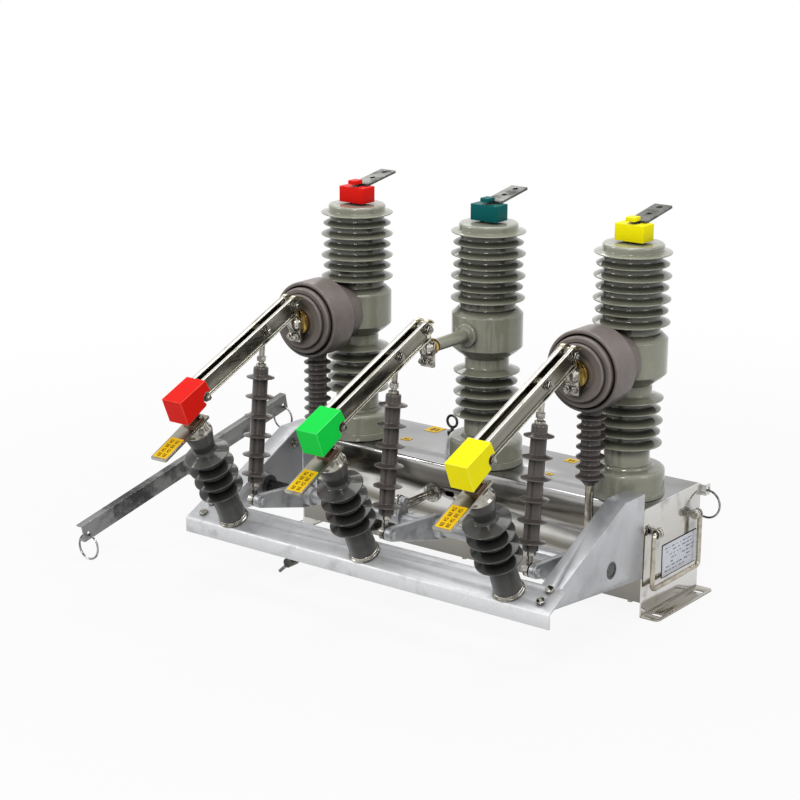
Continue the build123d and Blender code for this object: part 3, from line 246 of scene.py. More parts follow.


# Painted shade in deep places: reach in metres, and the openness from which to which it fades out
darkGapShade = {"reach": 0.027, "amount": 0.94, "from": 0.40, "to": 0.80, "upward": 1.0,
           "colour": (0.004, 0.004, 0.003)}
deepGapShade = {"reach": 0.036, "amount": 0.97, "from": 0.52, "to": 0.88, "upward": 0.8, "colour": grey(0.003)}
shadeBelow = {"amount": 0.75, "colour": (0.008, 0.008, 0.007)}
metalGapShade = {"reach": 0.012, "amount": 0.85, "from": 0.15, "to": 0.75, "colour": (0.022, 0.020, 0.016)}
bareMetal = {"metallic": 1.0, "recessShade": metalGapShade}
finishes = {
    "castResin": {
        "colour": (0.262, 0.263, 0.196), "mottle": (0.300, 0.300, 0.226), "mottleScale": 6.0,
        "specular": 0.14, "roughness": (0.24, 0.36), "gritScale": 420.0, "grit": 0.02, "coat": 0.85,
        "coatRoughness": 0.045, "waves": {"scale": 16.0, "strength": 0.14, "height": 0.0014},
        "recessShade": darkGapShade, "below": shadeBelow,
        "stain": patches(14.0, 0.25, (0.130, 0.130, 0.096), edge=0.54),
        "edge": {"wearAndHighlight": 0.75, "colour": (0.74, 0.74, 0.67), "shade": 0.5}},
    "transformerResin": {
        "colour": (0.170, 0.143, 0.130), "mottle": (0.200, 0.168, 0.152), "mottleScale": 9.0,
        "roughness": (0.28, 0.42), "gritScale": 700.0, "grit": 0.07, "coat": 0.18, "coatRoughness": 0.16,
        "specular": 0.14, "waves": {"scale": 14.0, "strength": 0.10, "height": 0.001}, "recessShade": darkGapShade,
        "below": shadeBelow, "edge": {"wearAndHighlight": 0.8, "colour": (0.52, 0.48, 0.45), "shade": 0.6}},
    "bushingRubber": {
        "colour": (0.068, 0.057, 0.051), "mottle": (0.098, 0.082, 0.074), "mottleScale": 14.0,
        "roughness": (0.26, 0.40), "gritScale": 800.0, "grit": 0.04, "coat": 0.6, "coatRoughness": 0.09,
        "specular": 0.12, "recessShade": dict(darkGapShade, reach=0.022), "below": shadeBelow,
        "edge": {"wearAndHighlight": 0.8, "colour": (0.44, 0.39, 0.36), "shade": 0.6}},
    "postRubber": {
        "colour": (0.050, 0.049, 0.044), "mottle": (0.080, 0.078, 0.071), "mottleScale": 12.0,
        "specular": 0.12, "roughness": (0.24, 0.40), "gritScale": 800.0, "grit": 0.04, "coat": 0.5,
        "coatRoughness": 0.10, "recessShade": deepGapShade, "below": shadeBelow,
        "edge": {"wearAndHighlight": 0.85, "colour": (0.46, 0.455, 0.44), "shade": 0.6}},
    "stainless": {
        "colour": (0.62, 0.61, 0.585), "mottle": (0.50, 0.49, 0.465), "mottleScale": 3.5, "metallic": 1.0,
        "roughness": (0.10, 0.24), "roughScale": 5.0, "gritScale": 1600.0, "grit": 0.02,
        # bands: painted reflections, light and dark stripes with height
        "bands": {"axis": "Z", "mix": 0.88, "drift": 0.007, "driftScale": 5.0, "stretch": (1, 1, 0.2),
            "stops": ((30, (0.16, 0.155, 0.14)), (66, (0.24, 0.23, 0.20)), (80, (0.33, 0.32, 0.29)),
            (90, (0.58, 0.57, 0.56)), (98, (0.70, 0.69, 0.67)), (106, (0.33, 0.32, 0.28)),
            (112, (0.10, 0.095, 0.07)), (120, (0.16, 0.15, 0.115)), (128, (0.42, 0.41, 0.38)),
            (134, (0.72, 0.71, 0.67)), (156, (0.76, 0.755, 0.74)), (163, (0.35, 0.33, 0.29)),
            (168, (0.035, 0.031, 0.020)), (176, (0.085, 0.077, 0.052)), (188, (0.115, 0.10, 0.075)),
            (198, (0.062, 0.056, 0.044)), (210, (0.13, 0.125, 0.11)), (215, (0.60, 0.59, 0.57)),
            (219, (0.66, 0.65, 0.63)), (224, (0.40, 0.398, 0.41)))},
        "grain": patches(8.0, 0.22, (0.34, 0.33, 0.31), stretch=(1.2, 90.0, 90.0), bump=0.03),
        "stain": patches(6.0, 0.42, (0.20, 0.185, 0.15), edge=0.53), "recessShade": dict(metalGapShade, reach=0.03),
        "waves": {"scale": 5.0, "strength": 0.30, "height": 0.006}},
    # top face of the tank in its own darker copy of the stainless: painted reflection
    "topStainless": {
        "colour": (0.30, 0.30, 0.31), "mottle": (0.38, 0.378, 0.375), "mottleScale": 2.6, "metallic": 1.0,
        "roughness": (0.12, 0.26), "roughScale": 4.0, "gritScale": 1600.0, "grit": 0.02,
        "stain": patches(5.0, 0.6, (0.20, 0.195, 0.17), edge=0.50)},
    "endStainless": {
        **bareMetal, "colour": (0.60, 0.59, 0.565), "mottle": (0.46, 0.45, 0.43), "mottleScale": 5.0,
        "roughness": (0.05, 0.13), "roughScale": 7.0, "gritScale": 1600.0, "grit": 0.02,
        # bands: painted reflection and shade with height, dark at the bottom fold
        "bands": {"axis": "Z", "mix": 0.75, "drift": 0.004, "driftScale": 6.0,
            "stops": ((0, (0.26, 0.235, 0.185)), (4, (0.30, 0.27, 0.215)), (7, (0.60, 0.58, 0.54)),
            (40, (0.70, 0.69, 0.68)), (60, (0.62, 0.60, 0.56)), (120, (0.52, 0.50, 0.46)),
            (175, (0.58, 0.57, 0.54)), (224, (0.66, 0.655, 0.63)))},
        "grain": patches(8.0, 0.14, (0.40, 0.38, 0.35), stretch=(90.0, 1.2, 90.0), bump=0.02),
        "stain": patches(15.0, 0.65, (0.30, 0.295, 0.28), edge=0.57),
        "waves": {"scale": 6.0, "strength": 0.15, "height": 0.003}},
    "beamZinc": {
        "colour": (0.46, 0.465, 0.475), "mottle": (0.54, 0.545, 0.555), "mottleScale": 11.0,
        "metallic": 0.7, "roughness": (0.46, 0.62), "gritScale": 420.0, "grit": 0.22,
        # bands: lip and bend lighter, sloping top darker, as painted highlight and reflection
        "bands": {"axis": "Z", "mix": 0.8, "drift": 0.001, "driftScale": 30.0,
            "stops": ((80, (0.52, 0.53, 0.54)), (94, (0.66, 0.665, 0.67)), (112, (0.80, 0.80, 0.805)),
            (120, (0.84, 0.84, 0.845)), (126, (0.50, 0.505, 0.515)), (136, (0.44, 0.445, 0.455)),
            (160, (0.52, 0.525, 0.53)))},
        "crystals": patches(150.0, 0.28, (0.60, 0.605, 0.615)),
        "stain": patches(24.0, 0.35, (0.30, 0.305, 0.31), edge=0.56), "recessShade": metalGapShade},
    "galvanised": {
        "colour": (0.42, 0.425, 0.44), "mottle": (0.54, 0.545, 0.56), "mottleScale": 8.0, "metallic": 0.7,
        "roughness": (0.36, 0.52), "gritScale": 420.0, "grit": 0.14,
        "crystals": patches(130.0, 0.25, (0.54, 0.545, 0.56)),
        "stain": patches(13.0, 0.40, (0.22, 0.225, 0.235), edge=0.54), "recessShade": metalGapShade},
    "darkGalvanised": {
        "colour": grey(0.20), "mottle": grey(0.13), "mottleScale": 14.0, "metallic": 0.7,
        "roughness": (0.34, 0.52), "gritScale": 600.0, "grit": 0.12,
        "crystals": patches(120.0, 0.30, grey(0.33)),
        "bands": {"axis": "Y", "mix": 0.8, "drift": 0.02, "driftScale": 60.0,
            "stops": ((-560, grey(0.27)), (-475, grey(0.22)), (-458, grey(0.030)), (-350, grey(0.022)),
            (-330, (0.17, 0.17, 0.165)), (-80, (0.20, 0.20, 0.195)), (110, (0.11, 0.11, 0.105)))},
        "stain": patches(16.0, 0.7, grey(0.030), edge=0.55), "recessShade": metalGapShade},
    "bladeMetal": {
        "colour": (0.62, 0.60, 0.54), "mottle": (0.50, 0.48, 0.42), "mottleScale": 9.0, "metallic": 1.0,
        "roughness": (0.08, 0.20), "gritScale": 1500.0, "grit": 0.02,
        "grainTurn": (math.radians(-22.8), 0, 0),
        # bands: painted highlights along the folded edges of the channels, darker painted reflection between
        # them
        "bands": {"axis": "Z", "mix": 0.85, "drift": 0.003, "driftScale": 8.0, "stretch": (1, 0.15, 1),
            "stops": ((583, (0.86, 0.84, 0.76)), (584.5, (0.70, 0.68, 0.60)), (588, (0.12, 0.116, 0.095)),
            (596, (0.19, 0.185, 0.155)), (606, (0.14, 0.136, 0.11)), (614, (0.24, 0.232, 0.20)),
            (619, (0.10, 0.096, 0.075)), (622.5, (0.72, 0.70, 0.62)), (625, (0.90, 0.885, 0.82)))},
        "grain": patches(7.0, 0.30, (0.16, 0.15, 0.12), stretch=(90.0, 2.0, 90.0), bump=0.04),
        "stain": patches(24.0, 0.45, (0.20, 0.18, 0.12), edge=0.55),
        "recessShade": dict(metalGapShade, amount=0.4)},
    "tintedMetal": {
        **bareMetal, "colour": (0.58, 0.52, 0.34), "mottle": (0.70, 0.66, 0.54), "mottleScale": 40.0,
        "roughness": (0.10, 0.22), "grit": 0.02,
        "stain": patches(50.0, 0.6, (0.22, 0.19, 0.10), edge=0.50)},
    "contactMetal": {
        **bareMetal, "colour": (0.50, 0.48, 0.43), "mottle": (0.26, 0.245, 0.21), "mottleScale": 40.0,
        "roughness": (0.10, 0.26), "gritScale": 700.0, "grit": 0.06,
        "stain": patches(60.0, 0.9, (0.045, 0.040, 0.030), edge=0.50)},
    "hingeMetal": {
        **bareMetal, "colour": (0.16, 0.152, 0.13), "mottle": (0.52, 0.50, 0.44), "mottleScale": 70.0,
        "roughness": (0.08, 0.20), "grit": 0.04,
        "stain": patches(60.0, 0.9, (0.03, 0.027, 0.02), edge=0.50)},
    "capMetal": {
        **bareMetal, "colour": (0.74, 0.72, 0.67), "mottle": (0.50, 0.48, 0.43), "mottleScale": 30.0,
        "roughness": (0.06, 0.14), "grit": 0.02,
        "stain": patches(44.0, 0.8, (0.10, 0.085, 0.06), edge=0.53)},
    "barMetal": {
        **bareMetal, "colour": (0.42, 0.40, 0.34), "mottle": (0.30, 0.28, 0.23), "mottleScale": 18.0,
        "roughness": (0.14, 0.30), "gritScale": 700.0, "grit": 0.06,
        "stain": patches(28.0, 0.8, (0.13, 0.10, 0.07), edge=0.50)},
    "copper": {
        **bareMetal, "colour": (0.33, 0.23, 0.17), "mottle": (0.24, 0.15, 0.11), "mottleScale": 24.0,
        "roughness": (0.20, 0.38), "grit": 0.06, "stain": patches(40.0, 0.6, (0.10, 0.065, 0.05))},
    "brass": {
        **bareMetal, "colour": (0.58, 0.40, 0.12), "mottle": (0.44, 0.29, 0.075), "mottleScale": 26.0,
        "roughness": (0.12, 0.28), "grit": 0.05,
        "stain": patches(44.0, 0.55, (0.20, 0.12, 0.03), edge=0.50)},
    "terminalMetal": {
        "colour": (0.080, 0.080, 0.073), "mottle": (0.14, 0.14, 0.128), "mottleScale": 22.0,
        "metallic": 0.9, "roughness": (0.28, 0.46), "gritScale": 500.0, "grit": 0.16, "recessShade": metalGapShade,
        "stain": patches(36.0, 0.8, (0.035, 0.034, 0.030), edge=0.50)},
    "fastenerSteel": {
        "colour": (0.62, 0.60, 0.55), "mottle": (0.24, 0.23, 0.20), "mottleScale": 70.0, "metallic": 1.0,
        "crystals": patches(190.0, 0.72, (0.035, 0.032, 0.026)), "roughness": (0.10, 0.24), "grit": 0.04,
        "recessShade": dict(metalGapShade, reach=0.006, amount=0.95)},
    "nickelRod": {
        **bareMetal, "colour": (0.52, 0.48, 0.40), "mottle": (0.34, 0.305, 0.245), "mottleScale": 34.0,
        "roughness": (0.07, 0.18), "grit": 0.02,
        "stain": patches(40.0, 0.6, (0.15, 0.12, 0.085), edge=0.52)},
    "darkSteel": {
        "colour": (0.10, 0.097, 0.090), "mottle": (0.055, 0.053, 0.049), "mottleScale": 34.0,
        "metallic": 0.9, "roughness": (0.20, 0.40), "grit": 0.08, "recessShade": metalGapShade},
    # its light stain patches are painted highlights on the dark ring
    "ringSteel": {
        "colour": (0.36, 0.36, 0.355), "mottle": (0.10, 0.10, 0.098), "mottleScale": 45.0,
        "metallic": 1.0, "roughness": (0.10, 0.24), "grit": 0.03,
        "stain": patches(60.0, 0.8, (0.70, 0.70, 0.68), edge=0.56)},
    "leverSteel": {
        "colour": (0.26, 0.26, 0.25), "mottle": (0.10, 0.10, 0.095), "mottleScale": 160.0,
        "metallic": 0.9, "roughness": (0.26, 0.42), "grit": 0.2},
    "blackBush": {
        "colour": grey(0.022), "mottle": grey(0.12), "mottleScale": 120.0, "roughness": (0.40, 0.55),
        "grit": 0.08},
    "castIron": {
        "colour": (0.44, 0.445, 0.455), "mottle": (0.33, 0.335, 0.345), "mottleScale": 22.0,
        "metallic": 0.72, "roughness": (0.30, 0.46), "gritScale": 350.0, "grit": 0.18, "recessShade": metalGapShade,
        "stain": patches(22.0, 0.55, (0.14, 0.14, 0.142), edge=0.53)},
    "ceramic": {
        "colour": (0.80, 0.79, 0.76), "mottle": (0.76, 0.75, 0.72), "mottleScale": 20.0,
        "roughness": (0.20, 0.30), "grit": 0.02},
    "stickerYellow": {
        "colour": (0.94, 0.60, 0.004), "mottle": (0.88, 0.53, 0.004), "mottleScale": 30.0,
        "specular": 0.12, "roughness": (0.40, 0.52), "gritScale": 1200.0, "grit": 0.04},
    "stickerMark": {
        "colour": (0.030, 0.014, 0.004), "mottle": (0.10, 0.040, 0.004), "mottleScale": 260.0,
        "specular": 0.1, "roughness": (0.45, 0.55), "grit": 0.03},
    "plateWhite": {
        "colour": (0.74, 0.76, 0.84), "mottle": (0.80, 0.815, 0.88), "mottleScale": 14.0, "specular": 0.2,
        "roughness": (0.28, 0.40), "gritScale": 900.0, "grit": 0.03},
    # dark border of the nameplate: painted shadow
    "plateEdge": {
        "colour": (0.012, 0.011, 0.010), "mottle": (0.035, 0.030, 0.025), "mottleScale": 60.0,
        "specular": 0.1, "roughness": (0.45, 0.6), "grit": 0.05},
    "plateMark": {
        "colour": (0.075, 0.080, 0.105), "mottle": (0.24, 0.25, 0.29), "mottleScale": 300.0,
        "specular": 0.1, "roughness": (0.40, 0.50), "grit": 0.03},
    # lighter finish for rounded metal edges: a painted highlight
    "metalRidge": {
        "colour": (0.92, 0.91, 0.87), "mottle": (0.74, 0.73, 0.69), "mottleScale": 60.0, "metallic": 1.0,
        "roughness": (0.16, 0.30), "grit": 0.03,
        "stain": patches(40.0, 0.7, (0.30, 0.29, 0.26), edge=0.50)},
    # lighter finish for rounded zinc edges: a painted highlight
    "zincRidge": {
        "colour": (0.88, 0.885, 0.895), "mottle": (0.72, 0.725, 0.735), "mottleScale": 40.0,
        "metallic": 0.7, "roughness": (0.34, 0.46), "grit": 0.06,
        "stain": patches(30.0, 0.6, (0.40, 0.405, 0.41), edge=0.52)},
    "shaftEnd": {
        "colour": grey(0.16), "mottle": grey(0.055), "mottleScale": 240.0, "metallic": 0.8,
        "roughness": (0.36, 0.50), "grit": 0.3},
    "weldBead": {
        "colour": (0.50, 0.49, 0.48), "mottle": (0.30, 0.29, 0.28), "mottleScale": 80.0, "metallic": 0.9,
        "roughness": (0.30, 0.50), "gritScale": 400.0, "grit": 0.35,
        "stain": patches(60.0, 0.7, (0.10, 0.09, 0.08))},
}
plasticLook = {"mottleScale": 5.0, "roughness": (0.36, 0.48), "gritScale": 1100.0, "grit": 0.03,
               "specular": 0.08, "waves": {"scale": 22.0, "strength": 0.04, "height": 0.0006}}
# each plastic: its colour, its mottle, and a lighter copy for rounded edges as a painted highlight
plasticColours = {"redPlastic": ((0.82, 0.014, 0.008), (0.76, 0.010, 0.006), (1.0, 0.16, 0.10)),
                  "greenPlastic": ((0.006, 0.74, 0.075), (0.005, 0.66, 0.062), (0.15, 0.90, 0.28)),
                  "tealPlastic": ((0.002, 0.125, 0.120), (0.002, 0.100, 0.098), (0.04, 0.34, 0.33)),
                  "yellowPlastic": ((1.0, 0.90, 0.002), (0.98, 0.85, 0.002), (1.0, 0.95, 0.12))}
for plasticName, (main, other, ridge) in plasticColours.items():
    finishes[plasticName] = dict(plasticLook, colour=main, mottle=other)
    finishes[plasticName + "Ridge"] = dict(plasticLook, colour=ridge, mottle=main)
materials = {name: makeFinish(name, look) for name, look in finishes.items()}
print("finishes made:", len(materials))


# Shapes: outlines are lists of points, parts are points with faces, all in millimetres
def rounded(corners, closed=True, steps=5):  # corners are (x, y) or (x, y, radius)
    points, count = [], len(corners)
    for i, corner in enumerate(corners):
        here = Vector(corner[:2])
        radius = corner[2] if len(corner) > 2 else 0.0
        inner = closed or 0 < i < count - 1
        if not inner or radius <= 0:
            points.append(tuple(here))
            continue
        before = Vector(corners[i - 1][:2]) - here
        after = Vector(corners[(i + 1) % count][:2]) - here
        angle = before.angle(after)
        reach = min(radius / math.tan(angle / 2), 0.48 * before.length, 0.48 * after.length)
        radius = reach * math.tan(angle / 2)
        toCentre = (before.normalized() + after.normalized()).normalized()
        centre = here + toCentre * (radius / math.sin(angle / 2))
        start = here + before.normalized() * reach - centre
        sweep = start.angle_signed(here + after.normalized() * reach - centre)
        for k in range(steps + 1):
            turn = Matrix.Rotation(-sweep * k / steps, 2)
            points.append(tuple(centre + turn @ start))
    return points


def ring(centre, radius, steps=32):
    return [(centre[0] + radius * math.cos(2 * math.pi * k / steps),
             centre[1] + radius * math.sin(2 * math.pi * k / steps)) for k in range(steps)]


def spin(profile, steps, closed=False):  # profile of (radius, height), turned about Z
    verts, faces, rows = [], [], []
    for radius, height in profile:
        if radius < 1e-6:
            rows.append([len(verts)])
            verts.append((0.0, 0.0, height))
        else:
            rows.append(list(range(len(verts), len(verts) + steps)))
            verts += [(x, y, height) for x, y in ring((0, 0), radius, steps)]
    pairs = list(zip(rows, rows[1:])) + ([(rows[-1], rows[0])] if closed else [])
    for low, high in pairs:
        for k in range(steps):
            n = (k + 1) % steps
            if len(low) == 1 and len(high) > 1:
                faces.append((low[0], high[n], high[k]))
            elif len(high) == 1 and len(low) > 1:
                faces.append((low[k], low[n], high[0]))
            elif len(low) > 1:
                faces.append((low[k], low[n], high[n], high[k]))
    return verts, faces


def arcPoints(radius, start, sweep, steps):
    turns = [start + sweep * k / steps for k in range(steps + 1)]
    return [(radius * math.cos(a), radius * math.sin(a)) for a in turns]


def turned(profile, steps, closed=False):  # corners rounded, then spun
    return spin(rounded(profile, closed), steps, closed)


def sleeve(inner, outer, high, bend, steps):  # plain ring, as a washer or a collar
    return turned([(inner, 0, 0), (outer, 0, bend), (outer, high, bend), (inner, high, 0)], steps, True)


def slab(loops, low, high):  # flat outline with holes, thick along Z
    flat = [[Vector((x, y, 0.0)) for x, y in loop] for loop in loops]
    count = sum(len(loop) for loop in loops)
    verts = [(p.x, p.y, z) for z in (low, high) for loop in flat for p in loop]
    faces = []
    for triangle in tessellate_polygon(flat):
        faces.append(tuple(triangle))
        faces.append(tuple(i + count for i in reversed(triangle)))
    start = 0
    for loop in loops:
        for k in range(len(loop)):
            a, b = start + k, start + (k + 1) % len(loop)
            faces.append((a, b, b + count, a + count))
        start += len(loop)
    return verts, faces


def tube(path, radius, steps, bend=0.0):
    points = smoothPath(path, bend) if bend else [Vector(p) for p in path]
    verts, faces, rows = [], [], []
    across = None
    for i, point in enumerate(points):
        direction = (points[min(i + 1, len(points) - 1)] - points[max(i - 1, 0)]).normalized()
        if across is None:
            across = direction.orthogonal().normalized()
        across = (across - direction * across.dot(direction)).normalized()
        side = direction.cross(across)
        rows.append(list(range(len(verts), len(verts) + steps)))
        for k in range(steps):
            angle = 2 * math.pi * k / steps
            verts.append(tuple(point + radius * (math.cos(angle) * across + math.sin(angle) * side)))
    for low, high in zip(rows, rows[1:]):
        for k in range(steps):
            faces.append((low[k], low[(k + 1) % steps], high[(k + 1) % steps], high[k]))
    return verts, faces + [tuple(reversed(rows[0])), tuple(rows[-1])]


def smoothPath(path, bend, steps=8):  # each inner corner becomes a curve
    points = [Vector(path[0])]
    for first, corner, last in zip(path, path[1:], path[2:]):
        here = Vector(corner)
        before, after = Vector(first) - here, Vector(last) - here
        reach = min(bend, 0.48 * before.length, 0.48 * after.length)
        start, end = here + before.normalized() * reach, here + after.normalized() * reach
        for k in range(steps + 1):
            t = k / steps
            points.append((1 - t) ** 2 * start + 2 * t * (1 - t) * here + t ** 2 * end)
    return [*points, Vector(path[-1])]


def wireRing(radius, wire, steps=72):
    return spin(ring((radius, 0), wire, 12), steps, closed=True)


def hexPart(radius, low, high, chamfer=0.8):
    def row(r, z):
        return [(r * math.cos(math.pi / 3 * k), r * math.sin(math.pi / 3 * k), z) for k in range(6)]

    slope = chamfer * 0.6
    verts = row(radius - chamfer, low) + row(radius, low + slope) + row(radius, high - slope)
    verts += row(radius - chamfer, high)
    faces = [tuple(range(5, -1, -1)), tuple(range(18, 24))]
    for level in range(3):
        for k in range(6):
            a, b = level * 6 + k, level * 6 + (k + 1) % 6
            faces.append((a, b, b + 6, a + 6))
    return verts, faces


def threadPart(radius, low, high, pitch=1.25, deep=0.45):
    profile, z, out = [(0.0, low)], low, False
    while z < high - pitch:
        profile.append((radius if out else radius - deep, z))
        z += pitch / 2
        out = not out
    profile += [(radius - 2 * deep, high), (0.0, high)]
    return spin(profile, 24)


washerThick = 1.6


def boltParts(radius, grip, headRadius, headHeight, nutHeight, tail):  # head above the grip, nut below it
    half, thin = grip / 2, washerThick
    washer = sleeve(radius, headRadius * 1.25, thin, 0.4, 40)
    nutLow = -half - thin - nutHeight
    return [(washer, Matrix.Translation((0, 0, half))), (washer, Matrix.Translation((0, 0, -half - thin))),
            (hexPart(headRadius, half + thin, half + thin + headHeight), None),
            (hexPart(headRadius, nutLow, -half - thin), None),
            (threadPart(radius, nutLow - tail, half), None)]


def stand(origin, zAxis, xAxis=(1, 0, 0)):
    z = Vector(zAxis).normalized()
    if abs(z.dot(Vector(xAxis).normalized())) > 0.999:
        xAxis = (0, 1, 0)
    x = (Vector(xAxis) - z * Vector(xAxis).dot(z)).normalized()
    y = z.cross(x)
    return Matrix(((x.x, y.x, z.x, origin[0]), (x.y, y.y, z.y, origin[1]), (x.z, y.z, z.z, origin[2]),
                   (0, 0, 0, 1)))


# Pieces: geometry is gathered, then becomes one object that rides on its body
sharpAngle = math.radians(32.0)


def startPiece(name, body, finish, replaced=(), slotName=None):
    return {"name": name, "body": body, "finish": finish, "replaced": replaced, "slot": slotName,
            "verts": [], "faces": [], "index": [], "used": [finish]}


def addPart(piece, part, place=None, finish=None):
    finish = finish or piece["finish"]
    if finish not in piece["used"]:
        piece["used"].append(finish)
    verts, faces = part
    base = len(piece["verts"])
    piece["verts"] += [tuple(toMetres * (place @ Vector(v) if place else Vector(v))) for v in verts]
    piece["faces"] += [tuple(i + base for i in face) for face in faces]
    piece["index"] += [piece["used"].index(finish)] * len(faces)


def addBolt(piece, place, **sizes):
    for part, local in boltParts(**sizes):
        addPart(piece, part, place @ local if local else place, "fastenerSteel")


def closePiece(piece, bevel=0.0, ridge="metalRidge"):
    mesh = bpy.data.meshes.new(piece["name"])
    mesh.from_pydata(piece["verts"], [], piece["faces"])
    for finish in piece["used"]:
        mesh.materials.append(materials[finish])
    mesh.polygons.foreach_set("material_index", piece["index"])
    placeObject(piece["name"], mesh, piece["body"], piece["replaced"], bevel, ridge)


def placeObject(name, mesh, body, replaced, bevel, ridge):
    work = bmesh.new()
    work.from_mesh(mesh)
    bmesh.ops.recalc_face_normals(work, faces=work.faces)
    for face in work.faces:
        face.smooth = True
    for edge in work.edges:
        if len(edge.link_faces) == 2 and edge.calc_face_angle(0.0) > sharpAngle:
            edge.smooth = False
    work.to_mesh(mesh)
    work.free()
    piece = bpy.data.objects.new(name, mesh)
    bpy.context.scene.collection.objects.link(piece)
    if bevel:
        for edge in mesh.edges:
            edge.use_edge_sharp = False
        rounding = piece.modifiers.new("rounding", "BEVEL")
        rounding.width = toMetres * bevel
        rounding.segments = 2
        rounding.limit_method = "ANGLE"
        rounding.angle_limit = sharpAngle
        rounding.use_clamp_overlap = True
        rounding.harden_normals = True
        if ridge:  # rounded edges get a lighter finish of their own: a painted highlight
            rounding.material = len(mesh.materials)
            mesh.materials.append(materials[ridge])
    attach(piece, body)
    if replaced:
        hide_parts(*replaced)


def dress(node, finish, bevel, ridge=None, zones=()):  # copy of a CAD node with rounded edges
    source = frame["nodes"][node]
    mesh = source.data.copy()
    mesh.materials.clear()
    used = [finish] + [zone[2] for zone in zones]
    for name in used:
        mesh.materials.append(materials[name])
    work = bmesh.new()
    work.from_mesh(mesh)
    bmesh.ops.remove_doubles(work, verts=work.verts, dist=2e-6)
    bmesh.ops.dissolve_limit(work, angle_limit=math.radians(0.6), verts=work.verts, edges=work.edges)
    for face in work.faces:
        centre = toMillimetres * face.calc_center_median()
        face.material_index = 0
        for k, (low, high, _) in enumerate(zones):
            if all(low[i] < centre[i] < high[i] for i in range(3)):
                face.material_index = k + 1
    work.to_mesh(mesh)
    work.free()
    if mesh.has_custom_normals:
        mesh.normals_split_custom_set([(0, 0, 0)] * len(mesh.loops))
    placeObject("dressed_" + node, mesh, source["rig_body"], (node,), bevel, ridge)


# Poles: rounded foot, two shedded shanks and the contact housing between them
poleLook = {"footRadius": 78.0, "footLow": 223.8, "seam": 237.8, "baseRadius": 76.5, "baseTop": 279.8,
            "stepRadius": 54.0, "stepHigh": 6.5, "lowerRoot": 45.7, "lowerFirst": 326.3, "waist": 449.0,
            "lowerRims": (68.7, 64.2, 68.7, 64.2, 68.7), "houseRadius": 73.5, "houseLow": 472.0,
            "houseHigh": 541.0, "houseCone": 8.0, "shoulder": 11.0, "upperRoot": 57.5, "upperFirst": 570.7,
            "upperRims": (76.3, 71.7, 76.3, 71.7, 76.3, 71.7, 76.3), "pitch": 22.95, "rimThick": 2.6,
            "rise": 7.5, "headRadius": 60.5, "headLow": 713.0, "top": 728.0,
            "arm": ((0, 60), (24, 60, 1), (24, 79.5, 2.5), (15.5, 81, 3), (13.0, 84, 3), (13.0, 181, 2),
                    (0, 181))}


def shedStack(root, rims, first, pitch, rise, thick, hollow=2.0, rootRound=4.0):
    corners = []
    for i, rim in enumerate(rims):
        z = first + i * pitch
        corners += [(root, z + hollow, rootRound), (rim, z, 0.45 * thick), (rim, z + thick, 0.5 * thick),
                    (root, z + thick + rise, 1.6 * rootRound)]
    return corners


def makePole(side, x):
    p = poleLook
    stepTop, shoulder = p["baseTop"] + p["stepHigh"], p["houseHigh"] + p["shoulder"]
    shape = (p["pitch"], p["rise"], p["rimThick"])
    corners = [(0, p["footLow"]), (p["footRadius"], p["footLow"], 1.0),
               (p["footRadius"], p["seam"] - 0.6, 1.5), (p["baseRadius"], p["seam"], 0.3),
               (p["baseRadius"], p["baseTop"], 8.0), (p["stepRadius"], p["baseTop"], 4.0),
               (p["stepRadius"] - 3, stepTop, 4.0), (p["lowerRoot"], stepTop, 5.0),
               *shedStack(p["lowerRoot"], p["lowerRims"], p["lowerFirst"], *shape),
               (p["lowerRoot"], p["waist"], 5.0),
               (p["houseRadius"] - p["houseCone"], p["houseLow"] - p["houseCone"], 3.0),
               (p["houseRadius"], p["houseLow"], 2.5), (p["houseRadius"], p["houseHigh"], 4.0),
               (p["upperRoot"] + 4, shoulder, 3.0), (p["upperRoot"], shoulder + 1.5, 3.0),
               *shedStack(p["upperRoot"], p["upperRims"], p["upperFirst"], *shape)[:-1],
               (p["headRadius"], p["headLow"], 3.0), (p["headRadius"], p["top"], 5.0), (0, p["top"])]
    piece = startPiece("poleBody." + side, "frame", "castResin", ("pole_" + side,), "cast_resin")
    addPart(piece, turned(corners, 112), Matrix.Translation((x, poleY, 0)))
    if side == "middle":  # cast arm towards the isolator
        addPart(piece, turned(p["arm"], 48), stand((x, poleY, contactZ), (0, -1, 0)))
    closePiece(piece)


onEachPhase(makePole)
print("poles made")


# Transformers on the outer poles, their bushings and conduits
outerPhases = ("left", "right")
transformerLook = {"boreRadius": 60.0, "front": 92.0, "drum": 80.3, "back": 141.0, "lip": 208.0,
                   "grooveOuter": 72.5, "grooveInner": 69.5, "grooveDepth": 9.0, "step": 218.0,
                   "ringRadius": 57.0, "ringJoint": 1.2, "jointDepth": 1.5, "ring": 226.0, "dish": 33.0,
                   "dishDepth": 222.9, "eye": 14.3,
                   "pad": ((0, 440), (25.5, 440, 0), (21.5, 428, 2), (20.5, 424, 1), (0, 424))}
bushingLook = {"root": 19.5, "rim": 28.5, "first": 289.0, "pitch": 20.0, "sheds": 7, "top": 423.7,
               "bottom": 272.0, "tail": 11.0, "y": -168.0,
               "shed": (("root", -3.5, 2.5), ("rim", -1.0, 1.0), ("rim", 1.4, 1.1), ("root", 6.5, 3.5))}
conduitLook = {"radius": 8.5, "y": -168.0, "top": 271.7, "entry": 152.0, "tankY": -111.0, "bend": 20.0,
               "collar": ((8.5, 0, 0), (13, 0, 0.6), (13, 3, 1.0), (8.5, 4, 0)),
               "seam": {"from": 178, "to": 262, "step": 2, "out": 0.92, "wander": 0.4, "behind": 3.2,
                        "radius": 1.3}}


def shedCorners(look):  # a shed is a few corners, each with the key of its radius, a height and a rounding
    return [(look[wide], look["first"] + i * look["pitch"] + high, bend)
            for i in range(look["sheds"]) for wide, high, bend in look["shed"]]


